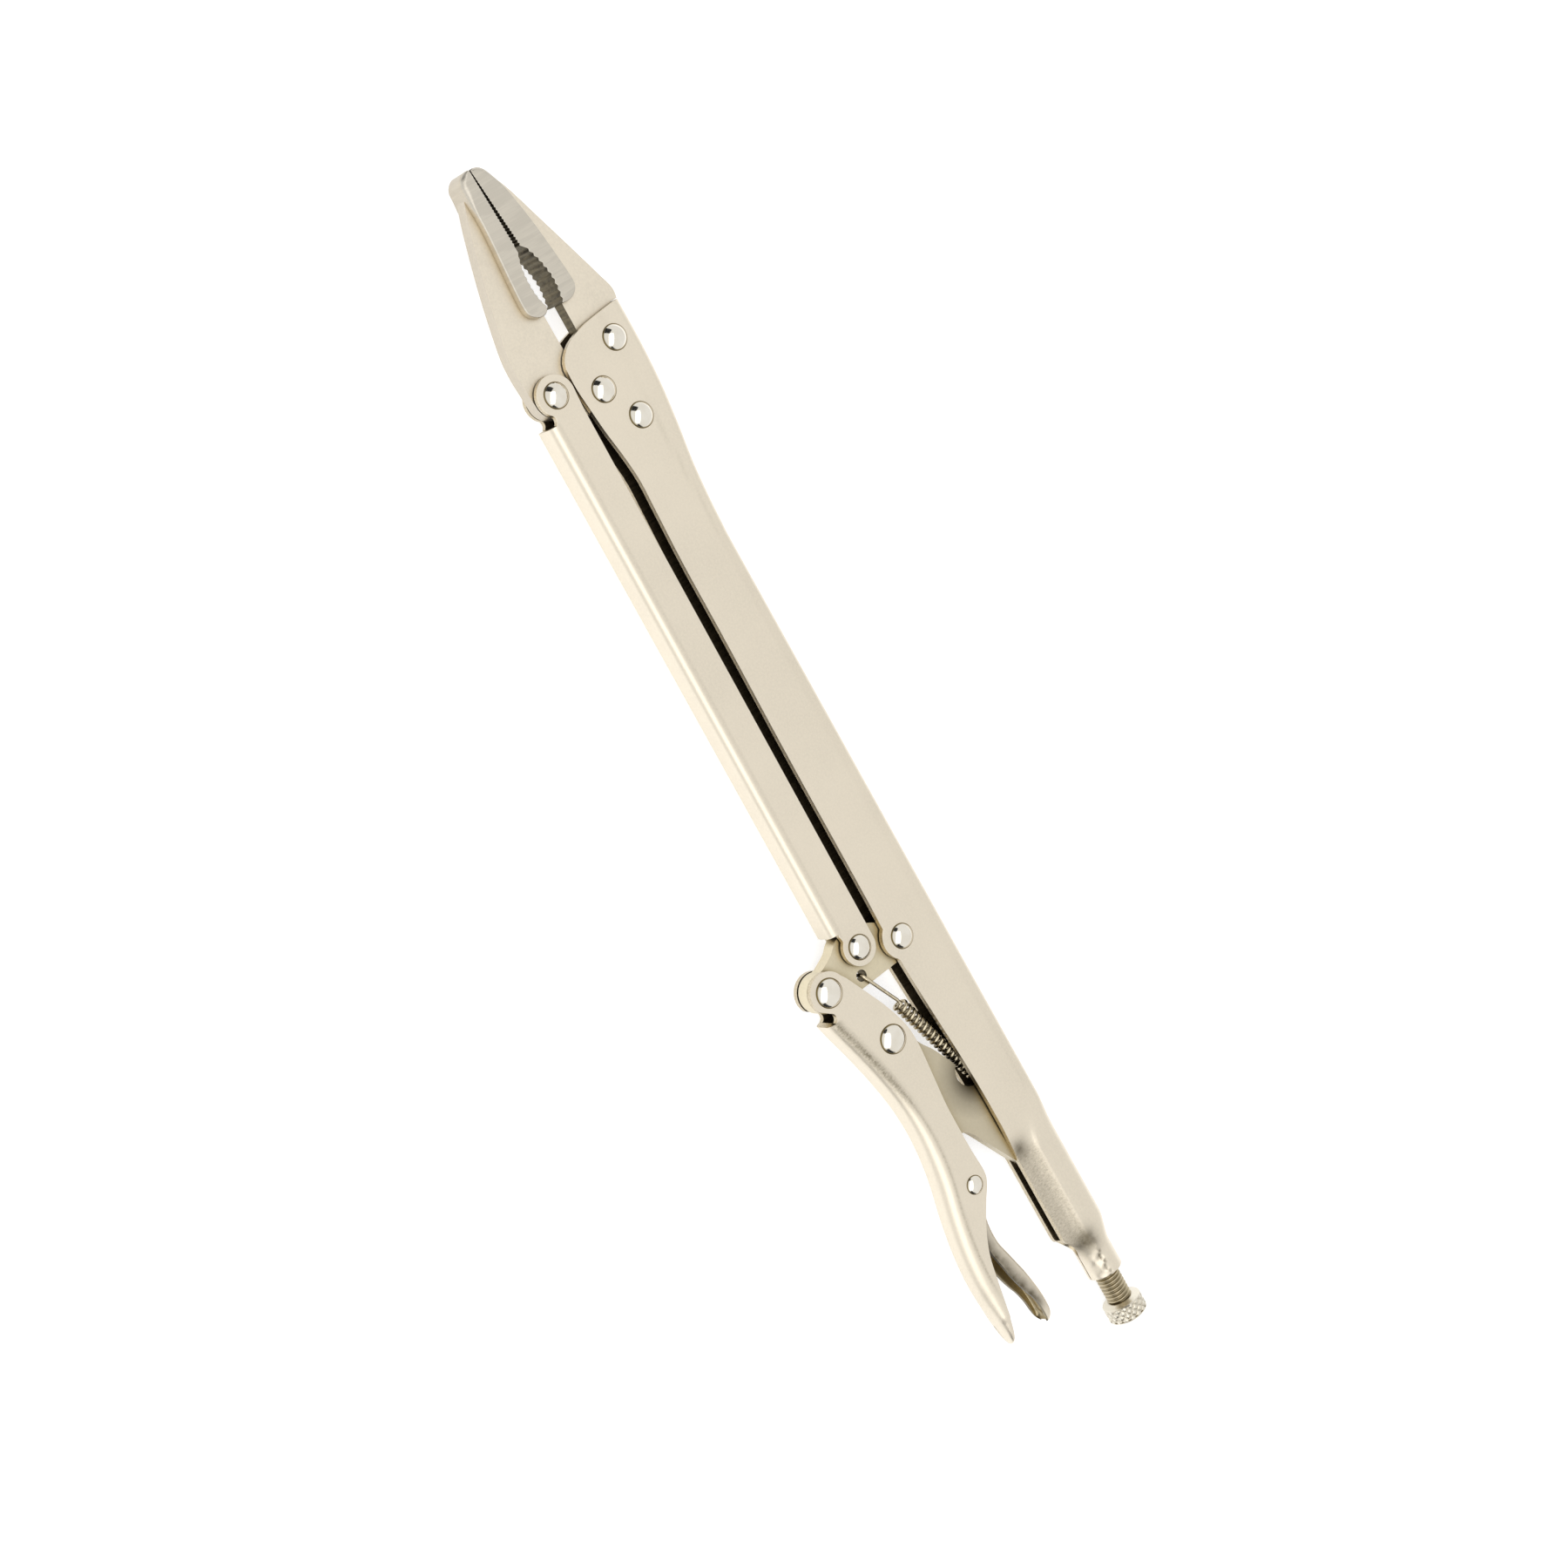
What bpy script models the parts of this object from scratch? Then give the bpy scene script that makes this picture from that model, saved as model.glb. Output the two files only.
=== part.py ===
"""Long-reach needle-nose locking pliers, closed and locked, lying on their side.

The drawing frame is in millimetres: X runs from the knob to the jaw tips along the adjusting
screw's axis, Y points to the lever side, and Z = 0 is the middle plane of every plate. The root
empty moves that drawing to the part's own frame, whose origin is under the middle of its box.
"""

import math

import bmesh
import bpy
from mathutils import Matrix, Vector

MM = 0.001

# Sheet, plates and fits
SHEET = 2.0
PLATE_HALF = 2.4
SIDE_GAP = 0.3
INNER_HALF = PLATE_HALF + SIDE_GAP
OUTER_HALF = INNER_HALF + SHEET
PINCHED_OUTER = 3.75
PINCHED_INNER = PINCHED_OUTER - SHEET
PAD_HALF = 5.0
BEND_RADIUS = 2.4

# Pivots: the four main ones make a parallelogram
JAW_PIVOT = (313.8, 5.0)
ARM_FRONT_PIVOT = (318.9, 18.4)
ROCKER_PIVOT = (139.5, 7.0)
ARM_REAR_PIVOT = (144.6, 20.4)
LEVER_PIVOT = (139.4, 35.7)
TOGGLE_PIVOT = (116.9, 25.5)
RELEASE_PIVOT = (66.5, 25.7)
TOGGLE_NOSE = (56.9, 0.0)
JAW_RIVET_FRONT = (324.2, -5.6)
JAW_RIVET_REAR = (302.8, -1.2)
SPRING_HOLE = (136.8, 23.2)

# Rivets: shank radius, head radius, head height
ARM_RIVET = (2.4, 3.75, 1.9)
LEVER_RIVET = (2.8, 4.4, 1.6)
SMALL_RIVET = (1.6, 2.85, 1.3)
HEAD_GAP = 0.1
HOLE_CLEARANCE = 0.3
ROUND_SIDES = 24
RIVET_SIDES = 16

# Channels
WEB_Y = -7.75
BODY_FRONT_X = 332.6
TUBE_RADIUS = 5.7
TUBE_REAR_X = 16.5
TUBE_FRONT_X = 52.0
BORE_RADIUS = 4.2
BORE_FRONT_X = 57.0
PINCH_Y = 2.4
SOLE_Y = WEB_Y + 0.04
ARM_REAR_KNUCKLE = 5.4
ARM_FRONT_KNUCKLE = 5.8
LEVER_KNUCKLE = 6.1
ARM_WEB_REAR_X = 151.2
ARM_WEB_FRONT_X = 312.0
LEVER_WEB_END_X = 131.0

# Screw
SCREW_RADIUS = 3.85
KNOB_RADIUS = 6.2
KNOB_LENGTH = 6.2
SCREW_TIP_X = 48.4
NOSE_RADIUS = 5.0

# Spring
WIRE_RADIUS = 0.42
COIL_RADIUS = 1.8
COIL_TURNS = 19
COIL_START = (91.0, 5.9)
COIL_END = (122.7, 16.3)
SPRING_TAB_X = 86.0

# The drawing's box, which places the part's own origin
TIP_X = 380.8
JAW_HEEL = (335.6, -13.6)
BOX_TOP_Y = LEVER_PIVOT[1] + LEVER_KNUCKLE
BOX_HALF_Z = OUTER_HALF + HEAD_GAP + ARM_RIVET[2]
ORIGIN = Vector((TIP_X / 2, (BOX_TOP_Y + JAW_HEEL[1]) / 2, -BOX_HALF_Z))


# ---------------------------------------------------------------- scene set-up

for old in list(bpy.data.objects):
    bpy.data.objects.remove(old, do_unlink=True)

pliers = bpy.data.collections.new("locking_pliers")
cutters = bpy.data.collections.new("cutters")
bpy.context.scene.collection.children.link(pliers)
bpy.context.scene.collection.children.link(cutters)
cutters.hide_render = True


def material(name, color, roughness):
    made = bpy.data.materials.new(name)
    made.use_nodes = True
    shader = made.node_tree.nodes["Principled BSDF"]
    shader.inputs["Base Color"].default_value = (*color, 1)
    shader.inputs["Metallic"].default_value = 1.0
    shader.inputs["Roughness"].default_value = roughness
    return made


SATIN_NICKEL = material("satin_nickel", (0.76, 0.71, 0.62), 0.36)
GROUND_STEEL = material("ground_steel", (0.66, 0.62, 0.56), 0.42)
POLISHED = material("polished_rivet", (0.80, 0.77, 0.72), 0.12)
THREAD_STEEL = material("thread_steel", (0.55, 0.49, 0.38), 0.34)
SPRING_STEEL = material("spring_steel", (0.30, 0.27, 0.22), 0.30)


# ---------------------------------------------------------------- outlines

def arc(center, radius, start, end, steps):
    """Points of a circular arc, with its angles in degrees."""
    turned = [math.radians(start + (end - start) * i / steps) for i in range(steps + 1)]
    return [(center[0] + radius * math.cos(a), center[1] + radius * math.sin(a)) for a in turned]


def circle(center, radius):
    return arc(center, radius, 0, 360, ROUND_SIDES)[:-1]


def spread(points, x):
    """Linear interpolation of (x, value) pairs, held level past both ends."""
    if x <= points[0][0]:
        return points[0][1]
    for (x0, v0), (x1, v1) in zip(points, points[1:]):
        if x <= x1:
            return v0 + (v1 - v0) * (x - x0) / (x1 - x0)
    return points[-1][1]


def smooth(points, steps=4):
    """A Catmull-Rom curve through the points."""
    ends = [points[0], *points, points[-1]]
    made = []
    for p0, p1, p2, p3 in zip(ends, ends[1:], ends[2:], ends[3:]):
        for i in range(steps):
            t = i / steps
            made.append(tuple(
                0.5 * (2 * b + (c - a) * t + (2 * a - 5 * b + 4 * c - d) * t**2
                       + (3 * b - a - 3 * c + d) * t**3)
                for a, b, c, d in zip(p0, p1, p2, p3)))
    return made + [tuple(points[-1])]


# ---------------------------------------------------------------- solids

def curve_to_mesh(obj):
    """Swaps a curve object for a closed mesh object of the same name."""
    bpy.context.view_layer.update()
    graph = bpy.context.evaluated_depsgraph_get()
    mesh = bpy.data.meshes.new_from_object(obj.evaluated_get(graph))
    name = obj.name
    bpy.data.objects.remove(obj, do_unlink=True)
    welded = bmesh.new()
    welded.from_mesh(mesh)
    bmesh.ops.remove_doubles(welded, verts=welded.verts, dist=1e-6)
    bmesh.ops.dissolve_limit(welded, angle_limit=1e-4, verts=welded.verts, edges=welded.edges)
    bmesh.ops.recalc_face_normals(welded, faces=welded.faces)
    welded.to_mesh(mesh)
    welded.free()
    return bpy.data.objects.new(name, mesh)


def slab(name, outline, half, holes=(), widths=None):
    """A flat outline with its round holes, extruded to both sides of the middle plane.

    widths is a list of (x, half width) pairs, where the thickness changes along X.
    """
    curve = bpy.data.curves.new(name, "CURVE")
    curve.dimensions = "2D"
    curve.fill_mode = "BOTH"
    curve.extrude = half * MM
    for loop in [outline, *[circle(center, radius) for center, radius in holes]]:
        spline = curve.splines.new("POLY")
        spline.points.add(len(loop) - 1)
        for point, (x, y) in zip(spline.points, loop):
            point.co = (x * MM, y * MM, 0, 1)
        spline.use_cyclic_u = True
    obj = bpy.data.objects.new(name, curve)
    pliers.objects.link(obj)
    obj = curve_to_mesh(obj)
    if widths:
        set_widths(obj.data, widths)
    return obj


def set_widths(mesh, widths):
    shape = bmesh.new()
    shape.from_mesh(mesh)
    for x, _ in widths:
        geometry = shape.verts[:] + shape.edges[:] + shape.faces[:]
        bmesh.ops.bisect_plane(shape, geom=geometry, plane_co=(x * MM, 0, 0), plane_no=(1, 0, 0))
    for vert in shape.verts:
        vert.co.z = math.copysign(spread(widths, vert.co.x / MM) * MM, vert.co.z)
    bmesh.ops.connect_verts_concave(shape, faces=shape.faces)
    shape.to_mesh(mesh)
    shape.free()


def round_edges(obj, is_edge, radius, segments=3):
    """Rounds the long outer edges of a bent sheet, which is_edge(x, y) picks in the drawing."""
    shape = bmesh.new()
    shape.from_mesh(obj.data)
    picked = []
    for edge in shape.edges:
        a, b = (vert.co for vert in edge.verts)
        flat = abs(a.z - b.z) < 2 * MM and a.z * b.z > 0
        if flat and len(edge.link_faces) == 2 and all(is_edge(v.x / MM, v.y / MM) for v in (a, b)):
            normals = [face.normal for face in edge.link_faces]
            if normals[0].dot(normals[1]) < 0.5:
                picked.append(edge)
    bmesh.ops.bevel(shape, geom=picked, offset=radius * MM, segments=segments, profile=0.5,
                    affect="EDGES", clamp_overlap=True)
    bmesh.ops.remove_doubles(shape, verts=shape.verts, dist=5e-5)
    bmesh.ops.triangulate(shape, faces=shape.faces)
    shape.to_mesh(obj.data)
    shape.free()


def pin(name, radius, center):
    """A cutter for a round hole through everything, along Z."""
    shape = bmesh.new()
    bmesh.ops.create_cone(shape, cap_ends=True, segments=ROUND_SIDES, radius1=radius * MM,
                          radius2=radius * MM, depth=4 * OUTER_HALF * MM)
    bmesh.ops.translate(shape, verts=shape.verts, vec=(center[0] * MM, center[1] * MM, 0))
    mesh = bpy.data.meshes.new(name)
    shape.to_mesh(mesh)
    shape.free()
    return bpy.data.objects.new(name, mesh)


def turned(name, profile, steps=ROUND_SIDES):
    """A Screw of a profile of (radius, height) points, which runs down its outer side."""
    mesh = bpy.data.meshes.new(name)
    points = [(r * MM, 0, h * MM) for r, h in profile]
    mesh.from_pydata(points, [(i, i + 1) for i in range(len(points) - 1)], [])
    obj = bpy.data.objects.new(name, mesh)
    screw = obj.modifiers.new("turn", "SCREW")
    screw.steps = steps
    screw.render_steps = steps
    screw.use_merge_vertices = True
    screw.merge_threshold = 1e-6
    screw.use_smooth_shade = True
    return obj


def lay_along_x(obj):
    """Turns a turned shape's axis from Z to X."""
    obj.rotation_euler = (0, math.pi / 2, 0)
    return obj


def cut(target, tool, operation="DIFFERENCE"):
    cutters.objects.link(tool)
    tool.hide_render = True
    tool.display_type = "WIRE"
    modifier = target.modifiers.new(tool.name, "BOOLEAN")
    modifier.operation = operation
    modifier.object = tool


def cut_holes(target, holes):
    for index, (center, radius) in enumerate(holes):
        cut(target, pin(f"{target.name}_hole_{index}", radius, center))


# Every piece hangs on the empty of its joint, and those hang on one root empty
root = bpy.data.objects.new("frame_root", None)
root.location = -ORIGIN * MM
pliers.objects.link(root)


def pivot(name, place, parent, parent_place=(0, 0)):
    empty = bpy.data.objects.new(name, None)
    empty.parent = parent
    empty.location = Vector((place[0] - parent_place[0], place[1] - parent_place[1], 0)) * MM
    pliers.objects.link(empty)
    return empty


def place(obj, look, parent, origin=(0, 0)):
    """Puts a piece on its empty, with its mesh moved so that the piece stays where it was drawn."""
    pliers.objects.link(obj)
    shift = Matrix.Translation((-origin[0] * MM, -origin[1] * MM, 0))
    if obj.type == "MESH":
        obj.data.transform(shift)
        obj.data.shade_smooth()
        obj.data.set_sharp_from_angle(angle=math.radians(35))
    for modifier in obj.modifiers:
        if modifier.type == "BOOLEAN":
            modifier.object.parent = parent
            modifier.object.data.transform(shift)
    obj.data.materials.append(look)
    obj.parent = parent


rocker_joint = pivot("rocker_joint", ROCKER_PIVOT, root)
arm_joint = pivot("arm_joint", ARM_REAR_PIVOT, rocker_joint, ROCKER_PIVOT)
lever_joint = pivot("lever_joint", LEVER_PIVOT, rocker_joint, ROCKER_PIVOT)
toggle_joint = pivot("toggle_joint", TOGGLE_PIVOT, lever_joint, LEVER_PIVOT)
release_joint = pivot("release_joint", RELEASE_PIVOT, lever_joint, LEVER_PIVOT)
jaw_joint = pivot("jaw_joint", JAW_PIVOT, root)

ARM_HOLE = ARM_RIVET[0] + HOLE_CLEARANCE
LEVER_HOLE = LEVER_RIVET[0] + HOLE_CLEARANCE
SMALL_HOLE = SMALL_RIVET[0] + HOLE_CLEARANCE


# ---------------------------------------------------------------- body channel

BODY_WIDTHS = [(62, PINCHED_OUTER), (75, OUTER_HALF)]
BODY_INNER_WIDTHS = [(62, PINCHED_INNER), (75, INNER_HALF)]
BODY_WEB = [(262, WEB_Y), (272, -8.2), (284, -9.2), (296, -11.0), (308, -12.4), (320, -13.0),
            (BODY_FRONT_X, -13.0)]
BODY_FREE_EDGE = [(323.5, 12.0), (312, 11.7), (304, 11.0), (296, 9.8), (288, 9.0), (278, 9.4),
                  (262, 9.9), (240, 10.2), (200, 10.8), (150, 11.2)]
BODY_REAR_EDGE = [(134.0, 11.2), (120, 10.6), (108, 9.8), (95, 9.2), (80, 8.9), (35.6, 8.9)]


def body_channel():
    lobe = smooth([(BODY_FRONT_X, -13.0), (332.0, -5), (331.0, 1.2), (329.2, 7), (326.8, 10.2),
                   (323.5, 12.0)], 2)
    free = smooth(BODY_FREE_EDGE, 1)
    knuckle = arc(ROCKER_PIVOT, 6.6, 40, 140, 6)
    tail = [(33.0, 8.5), (30.3, 7.6), (28.2, 6.6), (26.6, 5.4), (26, 4.0), (25.5, -5.0), (28, -5.9),
            (33, -7.2), (40, WEB_Y)]
    outline = lobe[:-1] + free + knuckle + BODY_REAR_EDGE + tail + BODY_WEB[:-1]
    channel = slab("body_channel", outline, OUTER_HALF, widths=BODY_WIDTHS)
    round_edges(channel, lambda x, y: x > 39 and y <= spread(BODY_WEB, x) + 0.05, BEND_RADIUS)
    sole = [(29, -6.1), (33, -7.1), (41, SOLE_Y), (77, SOLE_Y), (77, PINCH_Y), (29, PINCH_Y)]
    sole_widths = [(29, 4.0), (36, OUTER_HALF), (70, OUTER_HALF), (77, OUTER_HALF - 0.4)]
    sole = slab("tail_sole", sole, OUTER_HALF, widths=sole_widths)
    round_edges(sole, lambda x, y: 39 < x and y < SOLE_Y + 0.05, BEND_RADIUS)
    cut(channel, sole, "UNION")
    tube = turned("tail_tube", [(0, TUBE_FRONT_X + 14), (3.6, TUBE_FRONT_X + 14), (TUBE_RADIUS, TUBE_FRONT_X),
                                (TUBE_RADIUS, TUBE_REAR_X), (0, TUBE_REAR_X)])
    cut(channel, lay_along_x(tube), "UNION")
    inner_web = [(x, y + SHEET) for x, y in BODY_WEB]
    hollow = ([(36, -3.5), (42, WEB_Y + SHEET)] + inner_web
              + [(BODY_FRONT_X + 5, inner_web[-1][1]), (BODY_FRONT_X + 5, 30), (36, 30)])
    cut(channel, slab("body_hollow", hollow, INNER_HALF, widths=BODY_INNER_WIDTHS))
    bore = turned("tail_bore", [(0, BORE_FRONT_X), (BORE_RADIUS, BORE_FRONT_X), (BORE_RADIUS, 0), (0, 0)])
    cut(channel, lay_along_x(bore))
    holes = [JAW_PIVOT, ROCKER_PIVOT, JAW_RIVET_FRONT, JAW_RIVET_REAR]
    cut_holes(channel, [(center, ARM_HOLE) for center in holes])
    tab = slab("spring_tab", [(SPRING_TAB_X - 1, WEB_Y + 1), (SPRING_TAB_X + 1, WEB_Y + 1),
                              (SPRING_TAB_X + 1, 6.0), (SPRING_TAB_X - 1, 6.0)], 1.5)
    cut(channel, tab, "UNION")
    place(channel, SATIN_NICKEL, root)


# ---------------------------------------------------------------- jaws

def fixed_jaw():
    tang = arc(JAW_PIVOT, 6.7, -28, -155, 10)
    rear = arc(JAW_RIVET_REAR, 4.9, 80, 215, 8)
    plate = (tang + rear + [(300.5, -8.2), (309.5, -10.2), (320, -10.7), (333.2, -10.7), (333.2, -13.0),
             JAW_HEEL, (340.6, -11.9), (350.6, -8.2), (360.6, -4.0), (370.6, 0.2), (378.0, 4.4),
             (378.0, 7.2), (357, 5.9), (355, 5.0), (348, 2.6), (338.6, 2.4), (324, 1.9)])
    jaw = slab("fixed_jaw", plate, PLATE_HALF)
    holes = [(JAW_RIVET_FRONT, ARM_HOLE), (JAW_RIVET_REAR, ARM_HOLE)]
    hollow = smooth([(339.2, 3.3), (342.5, 2.6), (346.5, 2.4), (351.0, 3.3), (356.2, 5.1)], 2)
    pad = hollow + [(357.6, 6.0), (380.2, 7.9), (380.4, 6.9), (378.8, 5.6), (370.6, 2.9), (360.6, 0.3),
                    (350.6, -1.9), (342.6, -2.9), (340.2, -1.8), (338.8, 0.8)]
    cut(jaw, slab("fixed_pad", pad, PAD_HALF), "UNION")
    cut_holes(jaw, holes)
    place(jaw, GROUND_STEEL, root)


def moving_jaw():
    lobe = arc(JAW_PIVOT, 6.0, 162, 340, 12)
    back = arc(ARM_FRONT_PIVOT, 5.8, 90, 160, 5)
    front = [(322.5, 7.0), (326, 8.5), (338.6, 8.7), (357, 8.0), (379.0, 8.6), (379.6, 10.0),
             (377.6, 11.2), (372.6, 12.7), (365.6, 15.3), (350.6, 19.9), (335.6, 23.9), (327, 24.3)]
    jaw = slab("moving_jaw", lobe + front + back, PLATE_HALF)
    hollow = smooth([(341.0, 8.0), (343.0, 8.8), (347.0, 9.2), (352.0, 8.8), (356.0, 7.6)], 2)
    pad = ([(380.6, 8.25), (TIP_X, 9.4), (379.6, 10.8), (377.6, 11.3), (370.6, 12.2), (360.6, 13.2),
            (350.6, 13.9), (342.8, 14.3), (339.8, 12.9), (338.4, 10.0), (339.4, 8.2)] + hollow)
    cut(jaw, slab("moving_pad", pad, PAD_HALF), "UNION")
    cut_holes(jaw, [(JAW_PIVOT, ARM_HOLE), (ARM_FRONT_PIVOT, ARM_HOLE)])
    place(jaw, GROUND_STEEL, jaw_joint, JAW_PIVOT)


# ---------------------------------------------------------------- link arm

ARM_WEB = [(ARM_WEB_REAR_X - 3, 27.0), (ARM_WEB_FRONT_X + 3, 25.1)]


def link_arm():
    rear = arc(ARM_REAR_PIVOT, ARM_REAR_KNUCKLE, 115, 270, 10)
    front = arc(ARM_FRONT_PIVOT, ARM_FRONT_KNUCKLE, -93, 65, 10)
    outline = rear + front + [(ARM_WEB[1][0] + 1.5, ARM_WEB[1][1]), (ARM_WEB[0][0] - 1.5, ARM_WEB[0][1])]
    arm = slab("link_arm", outline, OUTER_HALF)
    round_edges(arm, lambda x, y: y > spread(ARM_WEB, x) - 0.3, BEND_RADIUS)
    inner = [(x, y - SHEET) for x, y in ARM_WEB]
    open_front = [(ARM_WEB_FRONT_X, inner[1][1]), (ARM_WEB_FRONT_X, 40), (340, 40), (340, 0)]
    open_rear = [(120, 0), (120, 40), (ARM_WEB_REAR_X, 40), (ARM_WEB_REAR_X, inner[0][1])]
    cut(arm, slab("arm_hollow", open_front + open_rear, INNER_HALF))
    cut_holes(arm, [(ARM_REAR_PIVOT, ARM_HOLE), (ARM_FRONT_PIVOT, ARM_HOLE)])
    place(arm, SATIN_NICKEL, arm_joint, ARM_REAR_PIVOT)


# ---------------------------------------------------------------- rocker, toggle and lever

def rocker_plate():
    outline = (arc(LEVER_PIVOT, 5.9, -20, 180, 12) + arc(ROCKER_PIVOT, 6.1, 180, 340, 10)
               + [(147.6, 12.0), (150.2, 18.0), (150.3, 23.0), (149.3, 25.8), (147.3, 28.2), (146.0, 31.0)])
    rocker = slab("rocker_plate", outline, PLATE_HALF,
                  [(ROCKER_PIVOT, ARM_HOLE), (ARM_REAR_PIVOT, ARM_HOLE), (LEVER_PIVOT, LEVER_HOLE),
                   (SPRING_HOLE, 1.7)])
    place(rocker, SATIN_NICKEL, rocker_joint, ROCKER_PIVOT)


def toggle_link():
    nose = arc(TOGGLE_NOSE, NOSE_RADIUS, 118, 275, 12)
    notch = arc((93.4, 9.3), 5.2, 160, 20, 8)
    boss = arc(TOGGLE_PIVOT, 6.3, -35, 110, 10)
    outline = (nose + [(70, -3.6), (79.5, 1.6), (84, 8.4)] + notch + [(105.8, 14.8), (111, 18.0)] + boss
               + [(100, 29.6), (88, 27.4), (83.5, 25.2), (80.6, 21.6), (79.3, 18.3), (77.5, 16.9), (75, 15.5),
                  (62, 8.7)])
    link = slab("toggle_link", outline, PLATE_HALF, [(TOGGLE_PIVOT, LEVER_HOLE)],
                widths=[(57, PINCHED_INNER - SIDE_GAP), (66, PINCHED_INNER - SIDE_GAP), (79, PLATE_HALF)])
    place(link, SATIN_NICKEL, toggle_joint, TOGGLE_PIVOT)


LEVER_WEB = [(19.6, 39.0), (23, 39.7), (28, 40.2), (38, 40.8), (46, 40.5), (54, 39.6), (63, 37.8),
             (73, 35.3), (83, 33.7), (91, 33.2), (99, 33.6), (108, 35.0), (118, 37.3), (126, 39.5),
             (133.5, 41.1)]
LEVER_FREE_EDGE = [(20.6, 38.0), (30, 36.2), (40, 34.2), (46, 32.8), (51, 30.8), (56, 28.0), (61, 24.6),
                   (64.5, 22.0), (68, 20.9), (76, 21.2), (90, 21.1), (100, 20.2), (111, 19.2),
                   (118, 19.7), (126, 22.3), (134, 26.0), (141, 29.4)]


def lever_handle():
    web = smooth(LEVER_WEB, 2)
    outline = smooth(LEVER_FREE_EDGE, 2)[:-1] + arc(LEVER_PIVOT, LEVER_KNUCKLE, -68, 100, 12) + web[::-1]
    widths = [(19.6, 1.8), (24, 3.4), (34, OUTER_HALF)]
    lever = slab("lever_handle", outline, OUTER_HALF, widths=widths)
    round_edges(lever, lambda x, y: 24.5 < x < 133 and y > spread(web, x) - 0.2, 1.8)
    inner = [(x, y - SHEET) for x, y in web if 30 < x < LEVER_WEB_END_X]
    hollow = inner + [(LEVER_WEB_END_X, inner[-1][1] + 0.5), (LEVER_WEB_END_X, 60), (160, 60), (160, 0),
                      (inner[0][0] - 5, 0), (inner[0][0] - 5, inner[0][1] - 1)]
    cut(lever, slab("lever_hollow", hollow, INNER_HALF, widths=[(25, 1.2), (38, INNER_HALF)]))
    cut_holes(lever, [(LEVER_PIVOT, LEVER_HOLE), (TOGGLE_PIVOT, LEVER_HOLE), (RELEASE_PIVOT, SMALL_HOLE)])
    place(lever, SATIN_NICKEL, lever_joint, LEVER_PIVOT)


def release_lever():
    under = smooth([(18.8, 26.0), (21, 24.8), (28, 24.5), (35, 25.3), (41, 26.3), (48, 26.6), (54, 26.0),
                    (59, 24.0), (62.5, 21.6)], 2)
    nose = [(66.5, 20.9), (71, 21.6), (76, 23.2), (78.6, 24.2), (78.8, 26.6), (74, 28.6)]
    top = smooth([(66.5, 30.0), (58, 30.4), (50, 30.7), (42, 30.6), (36, 29.7), (31, 28.5), (27.5, 27.1),
                  (24, 25.9), (21.5, 25.6)], 2)
    tail_half = 4.4
    neck_half = PLATE_HALF - 0.1
    widths = [(18.8, 2.0), (24, tail_half), (41, tail_half), (46, neck_half)]
    release = slab("release_lever", under + nose + top, neck_half, widths=widths)
    floor = [(x, y + 1.5) for x, y in under if 21 < x < 60]
    trough = floor + [(60, 40), (floor[0][0], 40)]
    inner = [(18.8, 1.0), (24, tail_half - 1.4), (41, tail_half - 1.4), (46, neck_half - 1.3)]
    cut(release, slab("release_trough", trough, neck_half, widths=inner))
    cut_holes(release, [(RELEASE_PIVOT, SMALL_HOLE)])
    place(release, SATIN_NICKEL, release_joint, RELEASE_PIVOT)


# ---------------------------------------------------------------- turned pieces

def rivet(name, size, parent):
    """A rivet with a domed head at each end, whose axis is its parent's Z axis."""
    shank, head, height = size
    under = OUTER_HALF + HEAD_GAP
    sphere = (head**2 + height**2) / (2 * height)
    rise = math.degrees(math.asin(head / sphere))
    dome = [(x, under + height - sphere + y) for x, y in arc((0, 0), sphere, 90, 90 - rise, 3)]
    dome[0] = (0, under + height)
    half = dome + [(shank, under)]
    place(turned(name, half + [(x, -y) for x, y in reversed(half)], RIVET_SIDES), POLISHED, parent)


def adjusting_screw():
    profile = [(0, SCREW_TIP_X), (SCREW_RADIUS - 0.8, SCREW_TIP_X), (SCREW_RADIUS, SCREW_TIP_X - 0.8),
               (SCREW_RADIUS, KNOB_LENGTH - 1.2), (KNOB_RADIUS - 1.2, KNOB_LENGTH),
               (KNOB_RADIUS - 0.4, KNOB_LENGTH), (KNOB_RADIUS, KNOB_LENGTH - 0.4), (KNOB_RADIUS, 0.5),
               (KNOB_RADIUS - 0.5, 0), (0, 0)]
    place(lay_along_x(turned("adjusting_screw", profile)), THREAD_STEEL, root)


def opening_spring():
    """A tension coil between the body's tab and the rocker's hole, with a straight front wire."""
    start = Vector((*COIL_START, 0))
    end = Vector((*COIL_END, 0))
    along = (end - start).normalized()
    side = Vector((0, 0, 1))
    up = side.cross(along)
    points = [Vector((SPRING_TAB_X + 2.2, 3.2, 0)), Vector((SPRING_TAB_X + 2.6, 4.4, 0))]
    steps = 10
    total = COIL_TURNS * steps
    for i in range(total + 1):
        turn = 2 * math.pi * (i / steps + 0.25)
        ring = side * math.sin(turn) * COIL_RADIUS + up * math.cos(turn) * COIL_RADIUS
        points.append(start.lerp(end, i / total) + ring)
    points += [Vector((132.6, 21.2, 2.95)), Vector((136.2, 23.0, 3.05)), Vector((136.9, 23.3, 2.4)),
               Vector((136.9, 23.3, 0.0))]
    curve = bpy.data.curves.new("opening_spring", "CURVE")
    curve.dimensions = "3D"
    curve.bevel_depth = WIRE_RADIUS * MM
    curve.bevel_resolution = 2
    curve.use_fill_caps = True
    spline = curve.splines.new("POLY")
    spline.points.add(len(points) - 1)
    for node, point in zip(spline.points, points):
        node.co = (*(point * MM), 1)
    place(bpy.data.objects.new("opening_spring", curve), SPRING_STEEL, root)


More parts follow.
